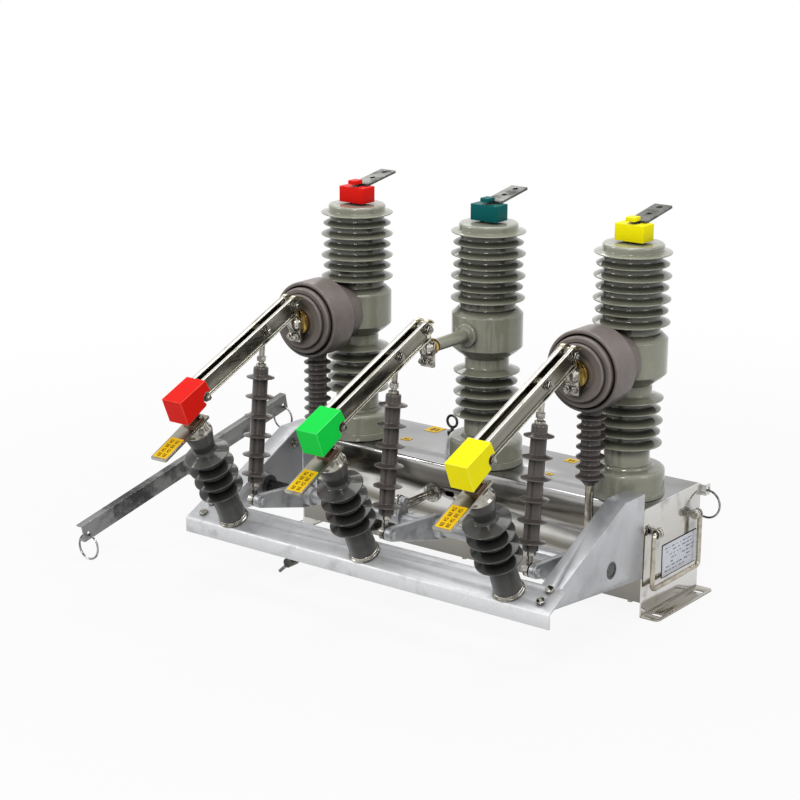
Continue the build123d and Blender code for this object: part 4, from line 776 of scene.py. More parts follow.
def makeTransformer(side, x):
    t = transformerLook
    grooveLow, joint = t["lip"] - t["grooveDepth"], t["ringRadius"] + t["ringJoint"]
    jointLow = t["step"] - t["jointDepth"]
    corners = [(t["boreRadius"], t["front"]), (t["boreRadius"], t["back"], 4), (t["drum"], t["back"], 5),
               (t["drum"], t["lip"], 6.5), (t["grooveOuter"], t["lip"], 2.5),
               (t["grooveOuter"] - 0.6, grooveLow, 1.0), (t["grooveInner"], grooveLow, 1.0),
               (t["grooveInner"], t["step"], 5.0), (joint, t["step"], 0.8), (joint, jointLow, 0.5),
               (t["ringRadius"], jointLow, 0.5), (t["ringRadius"], t["ring"], 3.5),
               (t["dish"] + 8, t["ring"] - 0.6, 6), (t["dish"], t["dishDepth"], 2.0),
               (t["eye"], t["dishDepth"])]
    piece = startPiece("transformer." + side, "frame", "transformerResin", ("ct_" + side,),
                       "transformer_resin")
    addPart(piece, spin(rounded(corners, closed=False, steps=6), 112), stand((x, 0, contactZ), (0, -1, 0)))
    addPart(piece, turned(t["pad"], 48), Matrix.Translation((x, bushingLook["y"], 0)))
    closePiece(piece)


def makeBushings():
    b = bushingLook
    piece = startPiece("leadBushings", "frame", "bushingRubber", ("ct_bushings",), "bushing_rubber")
    corners = [(0, b["bottom"]), (b["tail"], b["bottom"], 1.5), (b["tail"] + 3, b["bottom"] + 5, 2),
               (b["root"] - 1, b["bottom"] + 9, 2), *shedCorners(b), (b["root"], b["top"], 1.5),
               (0, b["top"])]
    for side in outerPhases:
        addPart(piece, turned(corners, 64), Matrix.Translation((phases[side], b["y"], 0)))
    closePiece(piece)


def makeConduits():
    c = conduitLook
    seam = c["seam"]
    piece = startPiece("leadConduits", "frame", "nickelRod", ("ct_conduits",), "stainless")
    for side in outerPhases:
        x = phases[side]
        path = [(x, c["y"], c["top"]), (x, c["y"], c["entry"]), (x, c["tankY"] + 1.0, c["entry"])]
        addPart(piece, tube(path, c["radius"], 28, bend=c["bend"]))
        addPart(piece, turned(c["collar"], 40, True), stand((x, c["tankY"], c["entry"]), (0, -1, 0)))
        bead = [(x + c["radius"] * seam["out"] + seam["wander"] * math.sin(z * 1.7),
                 c["y"] - seam["behind"], z) for z in range(seam["from"], seam["to"], seam["step"])]
        addPart(piece, tube(bead, seam["radius"], 8), finish="weldBead")
    closePiece(piece)


for side in outerPhases:
    makeTransformer(side, phases[side])
makeBushings()
makeConduits()
print("transformers, bushings and conduits made")


# Support insulators on the beam
slopeTilt = math.radians(26.0)
beamBend = (-467.98, 122.06)
postLook = {"onBeam": 31.0, "lift": 0.3, "foot": 28.0, "core": 25.5, "neck": 22.0, "neckTop": 190.0,
            "rim": 46.3, "lip": 44.8, "first": 82.0, "pitch": 30.0, "sheds": 4, "rise": 9.0, "head": 30.0,
            "height": 230.0, "shed": (("core", -3, 3.5), ("lip", -1.2, 0.4), ("rim", -1.0, 0.6),
                                      ("rim", 1.6, 1.0), ("core", 9.0, 4.0)),
            "flange": ((0, 0), (31, 0, 0.8), (31, 4.0, 0.8), (29.4, 4.6, 0.6), (29.4, 9.4, 1.2),
                       (28.4, 9.8, 0.4), (0, 9.8))}


def beamPoint(x, along, above):  # place on the sloping top of the beam
    c, s = math.cos(slopeTilt), math.sin(slopeTilt)
    return (x, beamBend[0] + along * c - above * s, beamBend[1] + along * s + above * c)


postUp = (0, -math.sin(slopeTilt), math.cos(slopeTilt))


def makePost(side, x):
    p = postLook
    neckLow = p["first"] + (p["sheds"] - 1) * p["pitch"] + p["rise"]
    corners = [(0, 10), (p["foot"], 10, 0.5), *shedCorners(p)[:-1], (p["neck"] + 2, neckLow + 1, 5.0),
               (p["neck"], neckLow + 6, 4.0), (p["neck"], p["neckTop"], 10.0),
               (p["head"], p["height"] - 1.5, 1.0), (p["head"] - 0.6, p["height"], 0.6), (0, p["height"])]
    piece = startPiece("post." + side, "frame", "postRubber", ("post_" + side,), "post_rubber")
    place = stand(beamPoint(x, p["onBeam"], p["lift"]), postUp)
    addPart(piece, turned(corners, 88), place)
    addPart(piece, turned(p["flange"], 72), place, "contactMetal")
    closePiece(piece)


onEachPhase(makePost)
print("posts made")


# Pull rods between cranks and blades
bladeTilt = math.radians(22.8)
bladePivot = (-254.0, 548.0)
rodLook = {"linkAt": 94.0, "foot": (-376.0, 158.0), "body": 15.5, "bodyTop": 76.0, "bodyEnd": 318.0,
           "rim": 29.0, "first": 98.0, "pitch": 40.5, "sheds": 6, "stem": 6.0, "eye": 11.0, "eyeHole": 5.05,
           "eyeThick": 13.4, "footEye": 13.5, "footHole": 7.0, "footThick": 10.0, "collar": 10.5,
           "footCollar": 11.5, "nut": {"radius": 10.0, "from": 54.0, "to": 64.0},
           "shed": (("body", -5.5, 2.5), ("rim", -1.3, 0.9), ("rim", 0.9, 0.9), ("body", 2.2, 1.8))}


def bladePoint(x, along, above):
    c, s = math.cos(bladeTilt), math.sin(bladeTilt)
    return (x, bladePivot[0] - along * c - above * s, bladePivot[1] - along * s + above * c)


def bladePlace(x):  # X along the blade, Y above it, Z across it
    c, s = math.cos(bladeTilt), math.sin(bladeTilt)
    return Matrix(((0, 0, 1, x), (-c, -s, 0, bladePivot[0]), (-s, c, 0, bladePivot[1]), (0, 0, 0, 1)))


def makePullRod(side, x):
    r = rodLook
    top = Vector(bladePoint(x, r["linkAt"], 0))
    down = Vector((x, *r["foot"])) - top
    place = stand(top, down)
    across = place @ stand((0, 0, 0), (1, 0, 0), (0, 0, 1))
    piece = startPiece("pullRod." + side, "pull_rod_" + side, "bushingRubber", ("pull_rod_" + side,),
                       "bushing_rubber")
    corners = [(0, r["bodyTop"]), (r["body"] - 1, r["bodyTop"], 1.5), (r["body"], r["bodyTop"] + 4, 1.5),
               *shedCorners(r), (r["body"], r["bodyEnd"], 2.0), (0, r["bodyEnd"])]  # heights run downwards
    addPart(piece, turned(corners, 64), place)
    stem = [(0, 6), (r["stem"], 6, 0.5), (r["stem"], r["bodyTop"] - 8, 1),
            (r["collar"], r["bodyTop"] - 6, 1), (r["collar"], r["bodyTop"], 0.5), (0, r["bodyTop"])]
    addPart(piece, turned(stem, 36), place, "contactMetal")
    addPart(piece, hexPart(r["nut"]["radius"], r["nut"]["from"], r["nut"]["to"]), place, "fastenerSteel")
    eye = [ring((0, 0), r["eye"], 40), ring((0, 0), r["eyeHole"], 32)]
    addPart(piece, slab(eye, -r["eyeThick"] / 2, r["eyeThick"] / 2), across, "contactMetal")
    footLow, collarLow = down.length - r["footEye"] + 2, r["bodyEnd"] + 8
    foot = [(0, r["bodyEnd"] - 2), (r["footCollar"], r["bodyEnd"] - 2, 1), (r["footCollar"], collarLow, 1),
            (r["stem"] + 1, collarLow + 2, 1), (r["stem"], footLow, 1), (0, footLow)]
    addPart(piece, turned(foot, 36), place, "contactMetal")
    footEye = [ring((down.length, 0), r["footEye"], 40), ring((down.length, 0), r["footHole"], 32)]
    addPart(piece, slab(footEye, -r["footThick"] / 2, r["footThick"] / 2), across, "contactMetal")
    closePiece(piece)


onEachPhase(makePullRod)
print("pull rods made")


# Blades: two folded channels back to back with their bolts
bladeLook = {"height": 41.0, "flange": 9.0, "wall": 2.5, "gap": 14.0, "length": 365.0, "foldOut": 3.6,
             "foldIn": 1.6, "flangeStart": 5.0, "curl": math.radians(80), "coverBoltAt": 311.0,
             "coverBoltDrop": 12.0, "coverBoltReach": 20.5, "collarRadius": 7.0}
bladeBolts = {"hinge": {"radius": 5.0, "headRadius": 9.6, "headHeight": 4.4, "nutHeight": 7.0, "tail": 5.0},
              "link": {"radius": 5.0, "headRadius": 9.2, "headHeight": 4.0, "nutHeight": 6.5, "tail": 5.0},
              "cover": {"radius": 4.5, "headRadius": 7.6, "headHeight": 5.0, "nutHeight": 5.5, "tail": 3.5}}


def makeBlade(side, x):
    b = bladeLook
    piece = startPiece("bladePair." + side, "blade_" + side, "bladeMetal", ("blade_" + side,),
                       "blade_metal")
    half, gap, wall, start = b["height"] / 2, b["gap"] / 2, b["wall"], b["flangeStart"]
    out, web = gap + b["flange"], gap + wall
    c, s = math.cos(bladeTilt), math.sin(bladeTilt)
    along = Matrix(((1, 0, 0, x), (0, -s, -c, bladePivot[0]), (0, c, -s, bladePivot[1]), (0, 0, 0, 1)))
    flat = bladePlace(x)
    for way in (-1, 1):
        outline = rounded([(gap, -half, b["foldOut"]), (out, -half, 0.8), (out, -half + wall, 0.8),
                           (web, -half + wall, b["foldIn"]), (web, half - wall, b["foldIn"]),
                           (out, half - wall, 0.8), (out, half, 0.8), (gap, half, b["foldOut"])])
        addPart(piece, slab([[(way * px, py) for px, py in outline]], start, b["length"]), along)
        arc = arcPoints(half, math.pi / 2, math.pi, 24)
        low, high = sorted((way * gap, way * web))
        heel = [(start + 3, -half + b["foldOut"]), (start + 3, half - b["foldOut"]), *arc]
        addPart(piece, slab([heel], low, high), flat, "tintedMetal")
        curl = [*arcPoints(half, math.pi / 2, b["curl"], 12),
                *reversed(arcPoints(half - wall, math.pi / 2, b["curl"], 12))]
        low, high = sorted((way * (web - 0.2), way * out))
        addPart(piece, slab([[(start + 0.1, half), *curl, (start + 0.1, half - wall)]], low, high), flat,
                "tintedMetal")
    grip = b["gap"] + 2 * wall
    for kind, at, above, held in (("hinge", 0, 0, grip), ("link", rodLook["linkAt"], 0, grip),
                                  ("cover", b["coverBoltAt"], -b["coverBoltDrop"],
                                   2 * b["coverBoltReach"])):
        addBolt(piece, stand(bladePoint(x, at, above), (-1, 0, 0)), grip=held, **bladeBolts[kind])
    collar = sleeve(4.0, b["collarRadius"], b["coverBoltReach"] - grip / 2, 0.6, 32)
    for way in (-1, 1):  # collars between the channels and the cover bolt's washers
        centre = bladePoint(x + way * grip / 2, b["coverBoltAt"], -b["coverBoltDrop"])
        addPart(piece, collar, stand(centre, (way, 0, 0)), "fastenerSteel")
    closePiece(piece)


onEachPhase(makeBlade)
print("blades made")

# Moulded covers over the blade tips: a shell, open below and behind, notched round the bolt
coverFinish = {"left": "redPlastic", "middle": "greenPlastic", "right": "yellowPlastic"}
coverSlot = {"left": "red_plastic", "middle": "green_plastic", "right": "yellow_plastic"}
coverLook = {"back": 303.0, "heel": (299.5, -4.0), "front": 382.0, "high": 23.3, "low": -31.0,
             "lowBack": (322.0, -25.5), "half": 25.0, "wall": 2.5, "notch": 12.0,
             "notchFrom": math.radians(-48), "notchTo": math.radians(142), "bevel": 1.1}


def makeCover(side, x):
    v = coverLook
    notch = arcPoints(v["notch"], v["notchFrom"], v["notchTo"] - v["notchFrom"], 16)
    arc = [(bladeLook["coverBoltAt"] + px, py - bladeLook["coverBoltDrop"]) for px, py in notch]
    edge = [v["lowBack"], *arc, v["heel"]]
    thin = v["wall"]
    outline = [(v["back"], v["high"]), (v["front"], v["high"]), (v["front"], v["low"]), *edge]
    room = [(v["back"], v["high"] - thin), (v["front"] - thin, v["high"] - thin),
            (v["front"] - thin, v["low"]), *edge]
    count = len(outline)
    rows = ((outline, -v["half"]), (room, thin - v["half"]), (room, v["half"] - thin), (outline, v["half"]))
    verts = [(px, py, across) for loop, across in rows for px, py in loop]
    faces = [tuple(range(row * count, (row + 1) * count)) for row in range(4)]
    for low, high, sides in ((0, 3, (0, 1)), (1, 2, (0, 1)), (0, 1, range(2, count)),
                             (2, 3, range(2, count))):
        for k in sides:  # roof and front wall outside and inside, then the rims of both side walls
            n = (k + 1) % count
            faces.append((low * count + k, low * count + n, high * count + n, high * count + k))
    # Rims of the roof and the front wall
    faces += [tuple(row * count + k for row in range(4)) for k in (0, 2)]
    piece = startPiece("bladeCover." + side, "blade_" + side, coverFinish[side], ("blade_cover_" + side,),
                       coverSlot[side])
    addPart(piece, (verts, faces), bladePlace(x))
    closePiece(piece, bevel=v["bevel"], ridge=coverFinish[side] + "Ridge")


onEachPhase(makeCover)
print("covers made")

# Lower contacts: pedestal, flat bar with its label, upright contact
jawLook = {"level": 250.3, "barThick": 5.0, "barHalf": 20.0, "front": 116.0, "back": 26.0, "corner": 2.0,
           "plateHalf": 15.0, "plateReach": 17.0, "plateThick": 5.0, "tongueHalf": 6.7, "tongueFoot": 15.0,
           "tongueTop": ((329.0, 6.0, 4), (363.0, -2.0, 4)), "screwOut": 9.5, "screwUp": 11.5,
           "screwRadius": 5.2, "screwHigh": 4.2, "labelFrom": 52.0, "labelTo": 111.0, "labelHalf": 16.8,
           "labelThick": 0.25, "markThick": 0.15,
           "pedestal": ((0, -20), (29.6, -20, 1.0), (29.6, -17, 1.2), (26.5, -13, 3.0), (24, -1.0, 1.0),
                        (23, 0, 0), (0, 0)),
           "marks": ((-2.2, 2.9, 4.4, 2.1), (2.6, 2.7, 2.8, 2.1), (-2.8, -0.5, 2.6, 2.0),
                     (1.8, -0.7, 4.6, 2.0), (0.0, -3.9, 7.6, 2.1))}


def makeJaw(side, x):
    j = jawLook
    piece = startPiece("jawContact." + side, "frame", "contactMetal", ("jaw_" + side,), "contact_metal")
    # X across, Y up the slope, Z off the bar
    flat = stand(beamPoint(x, postLook["onBeam"], j["level"]), postUp)
    addPart(piece, turned(j["pedestal"], 72), flat)
    w, k, barTop = j["barHalf"], j["corner"], j["barThick"]
    bar = [(-w, -j["front"], k), (w, -j["front"], k), (w, j["back"], k), (-w, j["back"], k)]
    addPart(piece, slab([rounded(bar)], 0, barTop), flat, "barMetal")
    w, reach, plateTop = j["plateHalf"], j["plateReach"], barTop + j["plateThick"]
    heel = [(-w, -reach, 2), (w, -reach, 2), (w, reach, 2), (-w, reach, 2)]
    addPart(piece, slab([rounded(heel)], barTop, plateTop), flat, "copper")
    upright = bladePlace(x)
    inverse = upright.inverted()
    feet = [inverse @ Vector(beamPoint(x, postLook["onBeam"] + d, j["level"] + plateTop - 1.0))
            for d in (-j["tongueFoot"], j["tongueFoot"])]
    tongue = [*j["tongueTop"], *((foot.x, foot.y) for foot in feet)]
    addPart(piece, slab([rounded(tongue)], -j["tongueHalf"], j["tongueHalf"]), upright, "copper")
    for dx in (-j["screwOut"], j["screwOut"]):
        screw = hexPart(j["screwRadius"], 0, j["screwHigh"])
        addPart(piece, screw, flat @ Matrix.Translation((dx, j["screwUp"], plateTop)), "fastenerSteel")
    closePiece(piece, bevel=0.5)
    label = startPiece("barLabel." + side, "frame", "stickerYellow")
    w, low, high, face = j["labelHalf"], -j["labelTo"], -j["labelFrom"], barTop + j["labelThick"]
    addPart(label, slab([rounded([(-w, low, 1), (w, low, 1), (w, high, 1), (-w, high, 1)])], barTop, face),
            flat)
    for row in range(4):
        for column in (-1, 1):  # plain blocks, no writing
            cx, cy = column * 6.6, low + 9.0 + row * 13.4
            for px, py, wide, tall in j["marks"]:
                px, wide = px * (1 if (row + column) % 2 else -1), wide * (0.8 if row % 2 else 1.0)
                left, right = cx + px - wide / 2, cx + px + wide / 2
                near, far = cy + py - tall / 2, cy + py + tall / 2
                mark = [(left, near), (right, near), (right, far), (left, far)]
                addPart(label, slab([mark], face, face + j["markThick"]), flat, "stickerMark")
    closePiece(label)


onEachPhase(makeJaw)
print("lower contacts made")

# CAD pieces that keep their form and get rounded edges and a finish
capFinish = {"left": "redPlastic", "middle": "tealPlastic", "right": "yellowPlastic"}
anywhere = 9999.0  # zones below: low corner, high corner, finish of the faces between them
eyeZone = ((-190.0, 70.0, 224.5), (-150.0, 106.0, 300.0), "darkSteel")
# the tank top takes the darker copy of the stainless: painted reflection
topReflectionZone = ((-anywhere, -anywhere, 223.0), (anywhere, anywhere, 224.4), "topStainless")
guideZone = ((-99.0, -130.0, 136.0), (-55.0, -111.5, 180.0), "fastenerSteel")
shaftZones = (((424.0, -anywhere, 0.0), (anywhere, anywhere, anywhere), "shaftEnd"),
              ((-anywhere, -anywhere, 0.0), (-424.0, anywhere, anywhere), "shaftEnd"))
tripZones = (((-anywhere, -anywhere, -anywhere), (anywhere, -360.0, anywhere), "leverSteel"),
             ((-249.0, -anywhere, 35.0), (-223.0, -360.0, 61.0), "darkSteel"))
dressed = {"tank_shell": ("stainless", 0.6, "metalRidge", (topReflectionZone, eyeZone, guideZone)),
           "bottom_cover": ("stainless", 0.5), "end_plate_right": ("endStainless", 0.9, "metalRidge"),
           "end_plate_left": ("endStainless", 0.9, "metalRidge"),
           "front_beam": ("beamZinc", 1.6, "zincRidge"), "bracket_right": ("galvanised", 1.8, "zincRidge"),
           "bracket_left": ("galvanised", 1.8, "zincRidge"),
           "frame_bolts": ("fastenerSteel", 0.5, "metalRidge"),
           "isolator_shaft": ("castIron", 1.2, "zincRidge", shaftZones), "shaft_bushes": ("blackBush", 0.3),
           "hand_lever": ("darkGalvanised", 1.2, "zincRidge"),
           "interlock_rod": ("fastenerSteel", 0.8, "metalRidge"),
           "trip_shaft": ("darkSteel", 0.8, "metalRidge", tripZones), "main_shaft": ("darkSteel", 0.6),
           "mechanism_frame": ("darkSteel", 0.6)}
for side in phases:
    dressed["conductor_" + side] = ("brass", 0.6)
    dressed["hinge_" + side] = ("hingeMetal", 0.8, "metalRidge")
    dressed["top_cap_" + side] = (capFinish[side], 1.2, capFinish[side] + "Ridge")
    dressed["interrupter_" + side] = ("ceramic", 0.6)
    dressed["drive_rod_" + side] = ("darkSteel", 0.5)
for node, choice in dressed.items():
    dress(node, *choice)
print("CAD pieces dressed:", len(dressed))

# Connection bars on the pole heads: they start behind the small cover of each cap
barLook = {"wide": 20.0, "thick": 5.0, "low": 765.3, "back": -24.5, "bend": -12.0, "overlap": 0.6,
           "long": 91.35, "slope": math.radians(9.85), "holes": (35.0, 75.4), "holeRadius": 6.5,
           "corner": 1.5, "stud": 11.0, "studLow": 706.0, "bevel": 0.7}


def makeTerminalBar(side, x):
    b = barLook
    wide, low, cos, sin = b["wide"], b["low"], math.cos(b["slope"]), math.sin(b["slope"])
    piece = startPiece("terminalBar." + side, "frame", "terminalMetal", ("top_terminal_" + side,),
                       "terminal_metal")
    outline = rounded([(-b["overlap"], -wide, 0), (b["long"], -wide, b["corner"]),
                       (b["long"], wide, b["corner"]), (-b["overlap"], wide, 0)])
    holes = [ring((at, 0), b["holeRadius"]) for at in b["holes"]]
    addPart(piece, slab([outline, *holes], 0.0, b["thick"]),
            stand((x, b["bend"], low), (0, -sin, cos), (0, cos, sin)))
    flat = [(x - wide, b["back"]), (x + wide, b["back"]), (x + wide, b["bend"]), (x - wide, b["bend"])]
    addPart(piece, slab([flat], low, low + b["thick"]))
    stud = [(0.0, b["studLow"]), (b["stud"], b["studLow"]), (b["stud"], low), (0.0, low)]
    addPart(piece, spin(stud, 40), Matrix.Translation((x, poleY, 0)))
    closePiece(piece, bevel=b["bevel"])


onEachPhase(makeTerminalBar)
print("terminal bars made")

# Cap nut on each hinge, bolt head inside the left bracket
capLook = {"front": -241.3, "form": ((0, 0), (14.5, 0, 0.5), (14.5, 3.5, 2.5), (9.57, 9.46, 5.0),
                                     (0, 11.0))}
boltLook = {"at": (-144.0, 207.0), "radius": 8.5, "high": 6.0, "washer": 11.05, "sheet": 4.0}


def makeHingeCap(side, x):
    piece = startPiece("hingeCap." + side, "frame", "capMetal")
    addPart(piece, turned(capLook["form"], 48), stand((x, capLook["front"], contactZ), (0, -1, 0)))
    closePiece(piece)


def makeBracketBolt():
    b = boltLook
    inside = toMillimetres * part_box("bracket_left")[0][0] + b["sheet"]
    piece = startPiece("bracketBolt", "frame", "fastenerSteel")
    place = stand((inside, *b["at"]), (1, 0, 0))
    addPart(piece, sleeve(3, b["washer"], washerThick, 0.4, 40), place)
    addPart(piece, hexPart(b["radius"], washerThick, washerThick + b["high"]), place)
    closePiece(piece)


onEachPhase(makeHingeCap)
makeBracketBolt()
print("cap nuts and bracket bolt made")

# Bare nameplate on the right end and small fields of colour on the tank
plateLook = {"x": 431.0, "y": (-37.0, 99.0), "z": (60.0, 130.0), "back": 0.3, "edge": 0.5, "face": 1.1,
             "print": 1.2, "rim": 2.2, "rows": 7, "above": 11.0, "margin": 14.0, "indent": (12.0, 5.0),
             "right": 22.0, "word": (4.0, 15.0), "space": (3.0, 9.0), "tall": (1.4, 2.6), "empty": 0.30}
fieldPlaces = (((-233.0, -199.0), (65.0, 103.0)), ((-233.0, -211.0), (-20.0, -2.0)),
               ((132.0, 158.0), (62.0, 86.0)), ((151.0, 166.0), (-36.0, -25.0)))
fieldMarks = ((0.30, 0.48, 0.22, 0.72), (0.56, 0.84, 0.30, 0.44), (0.56, 0.76, 0.56, 0.72))
fieldLook = {"tankTop": 223.5, "low": 0.3, "face": 0.6, "mark": 0.75}


def oblong(xs, ys, corner=0.8):
    (left, right), (low, high) = xs, ys
    return rounded([(left, low, corner), (right, low, corner), (right, high, corner), (left, high, corner)],
                   steps=3)


def makeNameplate():
    n = plateLook
    piece = startPiece("namePlate", "frame", "plateWhite")
    # X along Y, Y up, Z out of the end
    across = Matrix(((0, 0, 1, n["x"]), (1, 0, 0, 0), (0, 1, 0, 0), (0, 0, 0, 1)))
    (left, right), (low, high), rim = n["y"], n["z"], n["rim"]
    # dark backing that shows as a thin border round the white face: painted shadow
    addPart(piece, slab([oblong(n["y"], n["z"], 2.0)], n["back"], n["edge"]), across, "plateEdge")
    inner = oblong((left + rim, right - rim), (low + rim, high - rim), 1.5)
    addPart(piece, slab([inner], n["edge"], n["face"]), across)
    step = (high - low - n["margin"]) / n["rows"]
    for row in range(n["rows"]):  # plain bars in place of print
        z, y = high - n["above"] - row * step, left + n["indent"][0] + n["indent"][1] * (row % 2)
        while y < right - n["right"]:
            wide = random.uniform(*n["word"])
            if random.random() > n["empty"]:
                half = random.uniform(*n["tall"]) / 2
                bar = oblong((y, y + wide), (z - half, z + half), 0.3)
                addPart(piece, slab([bar], n["face"], n["print"]), across, "plateMark")
            y += wide + random.uniform(*n["space"])
    closePiece(piece)


def makeFields():
    piece = startPiece("tankFields", "frame", "stickerYellow")
    low, face, mark = (fieldLook["tankTop"] + fieldLook[key] for key in ("low", "face", "mark"))
    for xs, ys in fieldPlaces:
        wide, deep = xs[1] - xs[0], ys[1] - ys[0]
        addPart(piece, slab([oblong(xs, ys)], low, face))
        for a, b, c, d in fieldMarks:
            block = oblong((xs[0] + a * wide, xs[0] + b * wide), (ys[0] + c * deep, ys[0] + d * deep), 0.3)
            addPart(piece, slab([block], face, mark), None, "stickerMark")
    closePiece(piece)


makeNameplate()
makeFields()
print("nameplate and fields made")

# Handles and rings of round wire
handleLook = {"x": 446.0, "z": 171.0, "front": -83.0, "rear": 71.5, "spread": 14.0, "drop": 113.0,
              "inset": 14.0, "wire": 5.0, "bend": 12.0, "beadRadius": 8.4, "beadWire": 2.0, "beadOut": 6.0}
ringLook = {"hole": 5.0, "seat": 0.3, "wire": 2.3}
leverRings = {"x": -663.5, "shaft": (-227.0, 133.0), "tilt": math.radians(12.3), "above": -5.0,
              "radius": 27.0, "arms": {"front": -320.0, "rear": 330.0}}
pullRing = {"at": (441.5, 121.0, 209.0), "radius": 29.0}


def makeHandle(side, way):
    h = handleLook
    x, low = way * h["x"], h["z"] - h["drop"]
    path = [(x, h["front"] + h["inset"], h["z"]), (x, h["front"] - h["spread"], h["z"]),
            (x, h["front"] - h["spread"], low), (x, h["rear"] + h["spread"], low),
            (x, h["rear"] + h["spread"], h["z"]), (x, h["rear"] - h["inset"], h["z"])]
    piece = startPiece("carryHandle." + side, "handle_" + side, "nickelRod", ("handle_" + side,),
                       "black_steel")
    addPart(piece, tube(path, h["wire"], 20, bend=h["bend"]))
    closePiece(piece)


def makeEyeBeads():  # worn collars on both ends of the handle eyes
    h = handleLook
    piece = startPiece("eyeBeads", "frame", "fastenerSteel")
    for way in (-1, 1):
        for y in (h["front"], h["rear"]):
            for dy in (-h["beadOut"], h["beadOut"]):
                bead = wireRing(h["beadRadius"], h["beadWire"], 36)
                addPart(piece, bead, stand((way * h["x"], y + dy, h["z"]), (0, 1, 0)))
    closePiece(piece)


def makeRing(name, node, x, y, z, radius):
    top = z - ringLook["hole"] + ringLook["wire"] + ringLook["seat"]
    piece = startPiece(name, node, "ringSteel", (node,), "fastener_steel")
    addPart(piece, wireRing(radius, ringLook["wire"]), stand((x, y, top - radius), (0, 1, 0)))
    closePiece(piece)


for side, way in (("left", -1), ("right", 1)):
    makeHandle(side, way)
makeEyeBeads()
tilt = leverRings["tilt"]
for end, arm in leverRings["arms"].items():
    ringY = leverRings["shaft"][0] + arm * math.cos(tilt) - leverRings["above"] * math.sin(tilt)
    ringZ = leverRings["shaft"][1] + arm * math.sin(tilt) + leverRings["above"] * math.cos(tilt)
    makeRing("leverRing." + end, "lever_ring_" + end, leverRings["x"], ringY, ringZ, leverRings["radius"])
makeRing("pullRing", "pull_ring", *pullRing["at"], pullRing["radius"])
print("handles and rings made")

# Floor, lights, camera
floorLook = {"half": 40, "colour": (0.62, 0.62, 0.62), "nearGlow": 0.91, "farGlow": 1.0, "near": 0.5,
             "far": 2.6}
floorMesh = bpy.data.meshes.new("floor")
half = floorLook["half"]
corners = [(-half, -half, 0), (half, -half, 0), (half, half, 0), (-half, half, 0)]
floorMesh.from_pydata(corners, [], [(0, 1, 2, 3)])
floor = bpy.data.objects.new("floor", floorMesh)
bpy.context.scene.collection.objects.link(floor)
floorMaterial = bpy.data.materials.new("paleFloor")
floorMaterial.use_nodes = True
tree = floorMaterial.node_tree


def backgroundRays(tree):  # camera, glossy and transmission rays see the white background
    rays = tree.nodes.new("ShaderNodeLightPath")
    value = rays.outputs["Is Camera Ray"]
    for kind in ("Is Glossy Ray", "Is Transmission Ray"):
        larger = tree.nodes.new("ShaderNodeMath")
        larger.operation = "MAXIMUM"
        tree.links.new(value, larger.inputs[0])
        tree.links.new(rays.outputs[kind], larger.inputs[1])
        value = larger.outputs["Value"]
    return value


base = tree.nodes["Principled BSDF"]
base.inputs["Base Color"].default_value = (*floorLook["colour"], 1)
base.inputs["Roughness"].default_value = 0.7
base.inputs["Specular IOR Level"].default_value = 0.0
glow = tree.nodes.new("ShaderNodeEmission")
glow.inputs["Strength"].default_value = 1.0
spot = tree.nodes.new("ShaderNodeTexCoord")
away = tree.nodes.new("ShaderNodeVectorMath")
away.operation = "LENGTH"
tree.links.new(spot.outputs["Object"], away.inputs[0])
fade = tree.nodes.new("ShaderNodeMapRange")  # whiter away from the object
fade.interpolation_type = "SMOOTHSTEP"
for socket, key in (("From Min", "near"), ("From Max", "far"), ("To Min", "nearGlow"),
                    ("To Max", "farGlow")):
    fade.inputs[socket].default_value = floorLook[key]
tree.links.new(away.outputs["Value"], fade.inputs["Value"])
share = tree.nodes.new("ShaderNodeMath")
share.operation = "MULTIPLY"
tree.links.new(backgroundRays(tree), share.inputs[0])
tree.links.new(fade.outputs["Result"], share.inputs[1])
mixer = tree.nodes.new("ShaderNodeMixShader")
tree.links.new(share.outputs["Value"], mixer.inputs["Fac"])
tree.links.new(base.outputs["BSDF"], mixer.inputs[1])
tree.links.new(glow.outputs["Emission"], mixer.inputs[2])
tree.links.new(mixer.outputs["Shader"], tree.nodes["Material Output"].inputs["Surface"])
floorMesh.materials.append(floorMaterial)

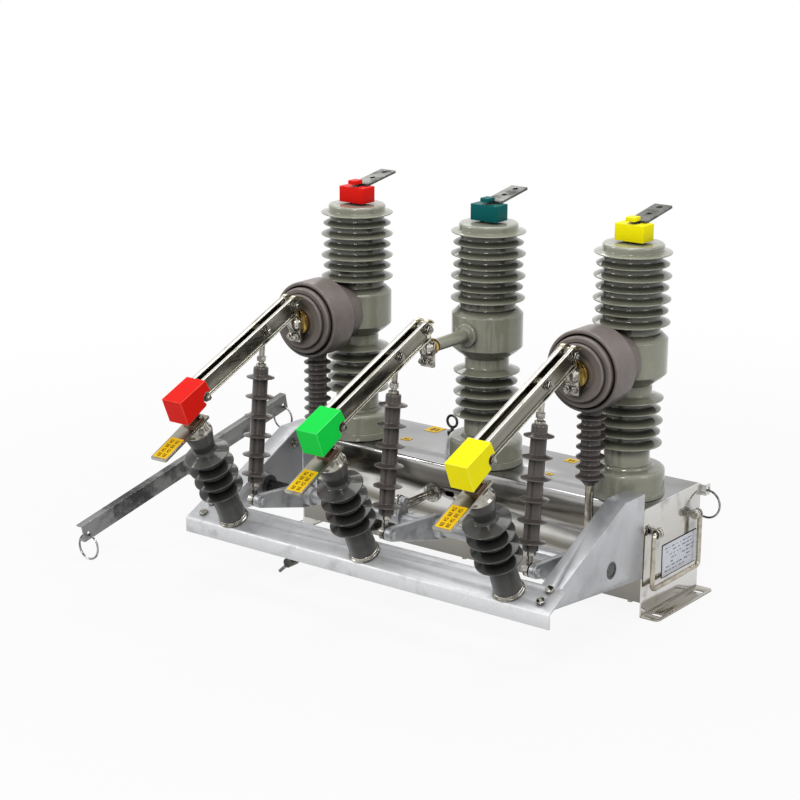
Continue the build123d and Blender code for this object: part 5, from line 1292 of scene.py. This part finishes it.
lampAim = (0, -0.2, 0.4)
lampLook = {"key": {"at": (1.7, -3.7, 3.0), "aim": lampAim, "size": 1.0, "power": 62},
            "left": {"at": (-3.0, -2.6, 2.4), "aim": lampAim, "size": 1.0, "power": 44},
            "fill": {"at": (3.8, -0.2, 1.8), "aim": lampAim, "size": 1.6, "power": 26},
            "top": {"at": (0.0, 0.2, 3.4), "aim": (0, -0.1, 0.3), "size": 1.6, "power": 46},
            "back": {"at": (-2.4, 2.4, 3.0), "aim": (0, 0, 0.5), "size": 1.4, "power": 18}}
for name, lamp in lampLook.items():
    light = bpy.data.lights.new(name, "AREA")
    light.shape, light.size, light.energy = "SQUARE", lamp["size"], lamp["power"]
    holder = bpy.data.objects.new(name, light)
    holder.location = lamp["at"]
    holder.rotation_euler = (Vector(lamp["aim"]) - Vector(lamp["at"])).to_track_quat("-Z", "Y").to_euler()
    bpy.context.scene.collection.objects.link(holder)

roomLook = {"colour": (0.95, 0.97, 1.0), "strength": 0.34}
world = bpy.data.worlds.new("paleRoom")
bpy.context.scene.world = world
world.use_nodes = True
tree = world.node_tree
room = tree.nodes["Background"]
room.inputs["Color"].default_value = (*roomLook["colour"], 1)
room.inputs["Strength"].default_value = roomLook["strength"]
white = tree.nodes.new("ShaderNodeBackground")
white.inputs["Strength"].default_value = 1.0
white.inputs["Color"].default_value = (1, 1, 1, 1)
swap = tree.nodes.new("ShaderNodeMixShader")
tree.links.new(backgroundRays(tree), swap.inputs["Fac"])
tree.links.new(room.outputs["Background"], swap.inputs[1])
tree.links.new(white.outputs["Background"], swap.inputs[2])
tree.links.new(swap.outputs["Shader"], tree.nodes["World Output"].inputs["Surface"])

cameraLook = {"azimuth": 37.11, "elevation": 15.60, "roll": 0.198, "distance": 4.4134,
              "target": (-0.2190, -0.032, 0.3193), "focalPixels": 2065.16, "frame": 800, "sensor": 36.0,
              "shift": (-0.0024, -0.0018)}
az, el = math.radians(cameraLook["azimuth"]), math.radians(cameraLook["elevation"])
forward = Vector((-math.sin(az) * math.cos(el), math.cos(az) * math.cos(el), -math.sin(el)))
lens = bpy.data.cameras.new("camera")
lens.sensor_width = cameraLook["sensor"]
lens.sensor_fit = "HORIZONTAL"
lens.lens = cameraLook["focalPixels"] / cameraLook["frame"] * lens.sensor_width
lens.shift_x, lens.shift_y = cameraLook["shift"]
lens.clip_end = 200.0
camera = bpy.data.objects.new("camera", lens)
camera.location = Vector(cameraLook["target"]) - cameraLook["distance"] * forward
facing = forward.to_track_quat("-Z", "Y").to_matrix().to_4x4()
facing = facing @ Matrix.Rotation(math.radians(cameraLook["roll"]), 4, "Z")
camera.rotation_euler = facing.to_euler()
bpy.context.scene.collection.objects.link(camera)
bpy.context.scene.camera = camera
bpy.context.scene.view_settings.view_transform = "Standard"
print("stage, lights and camera made")
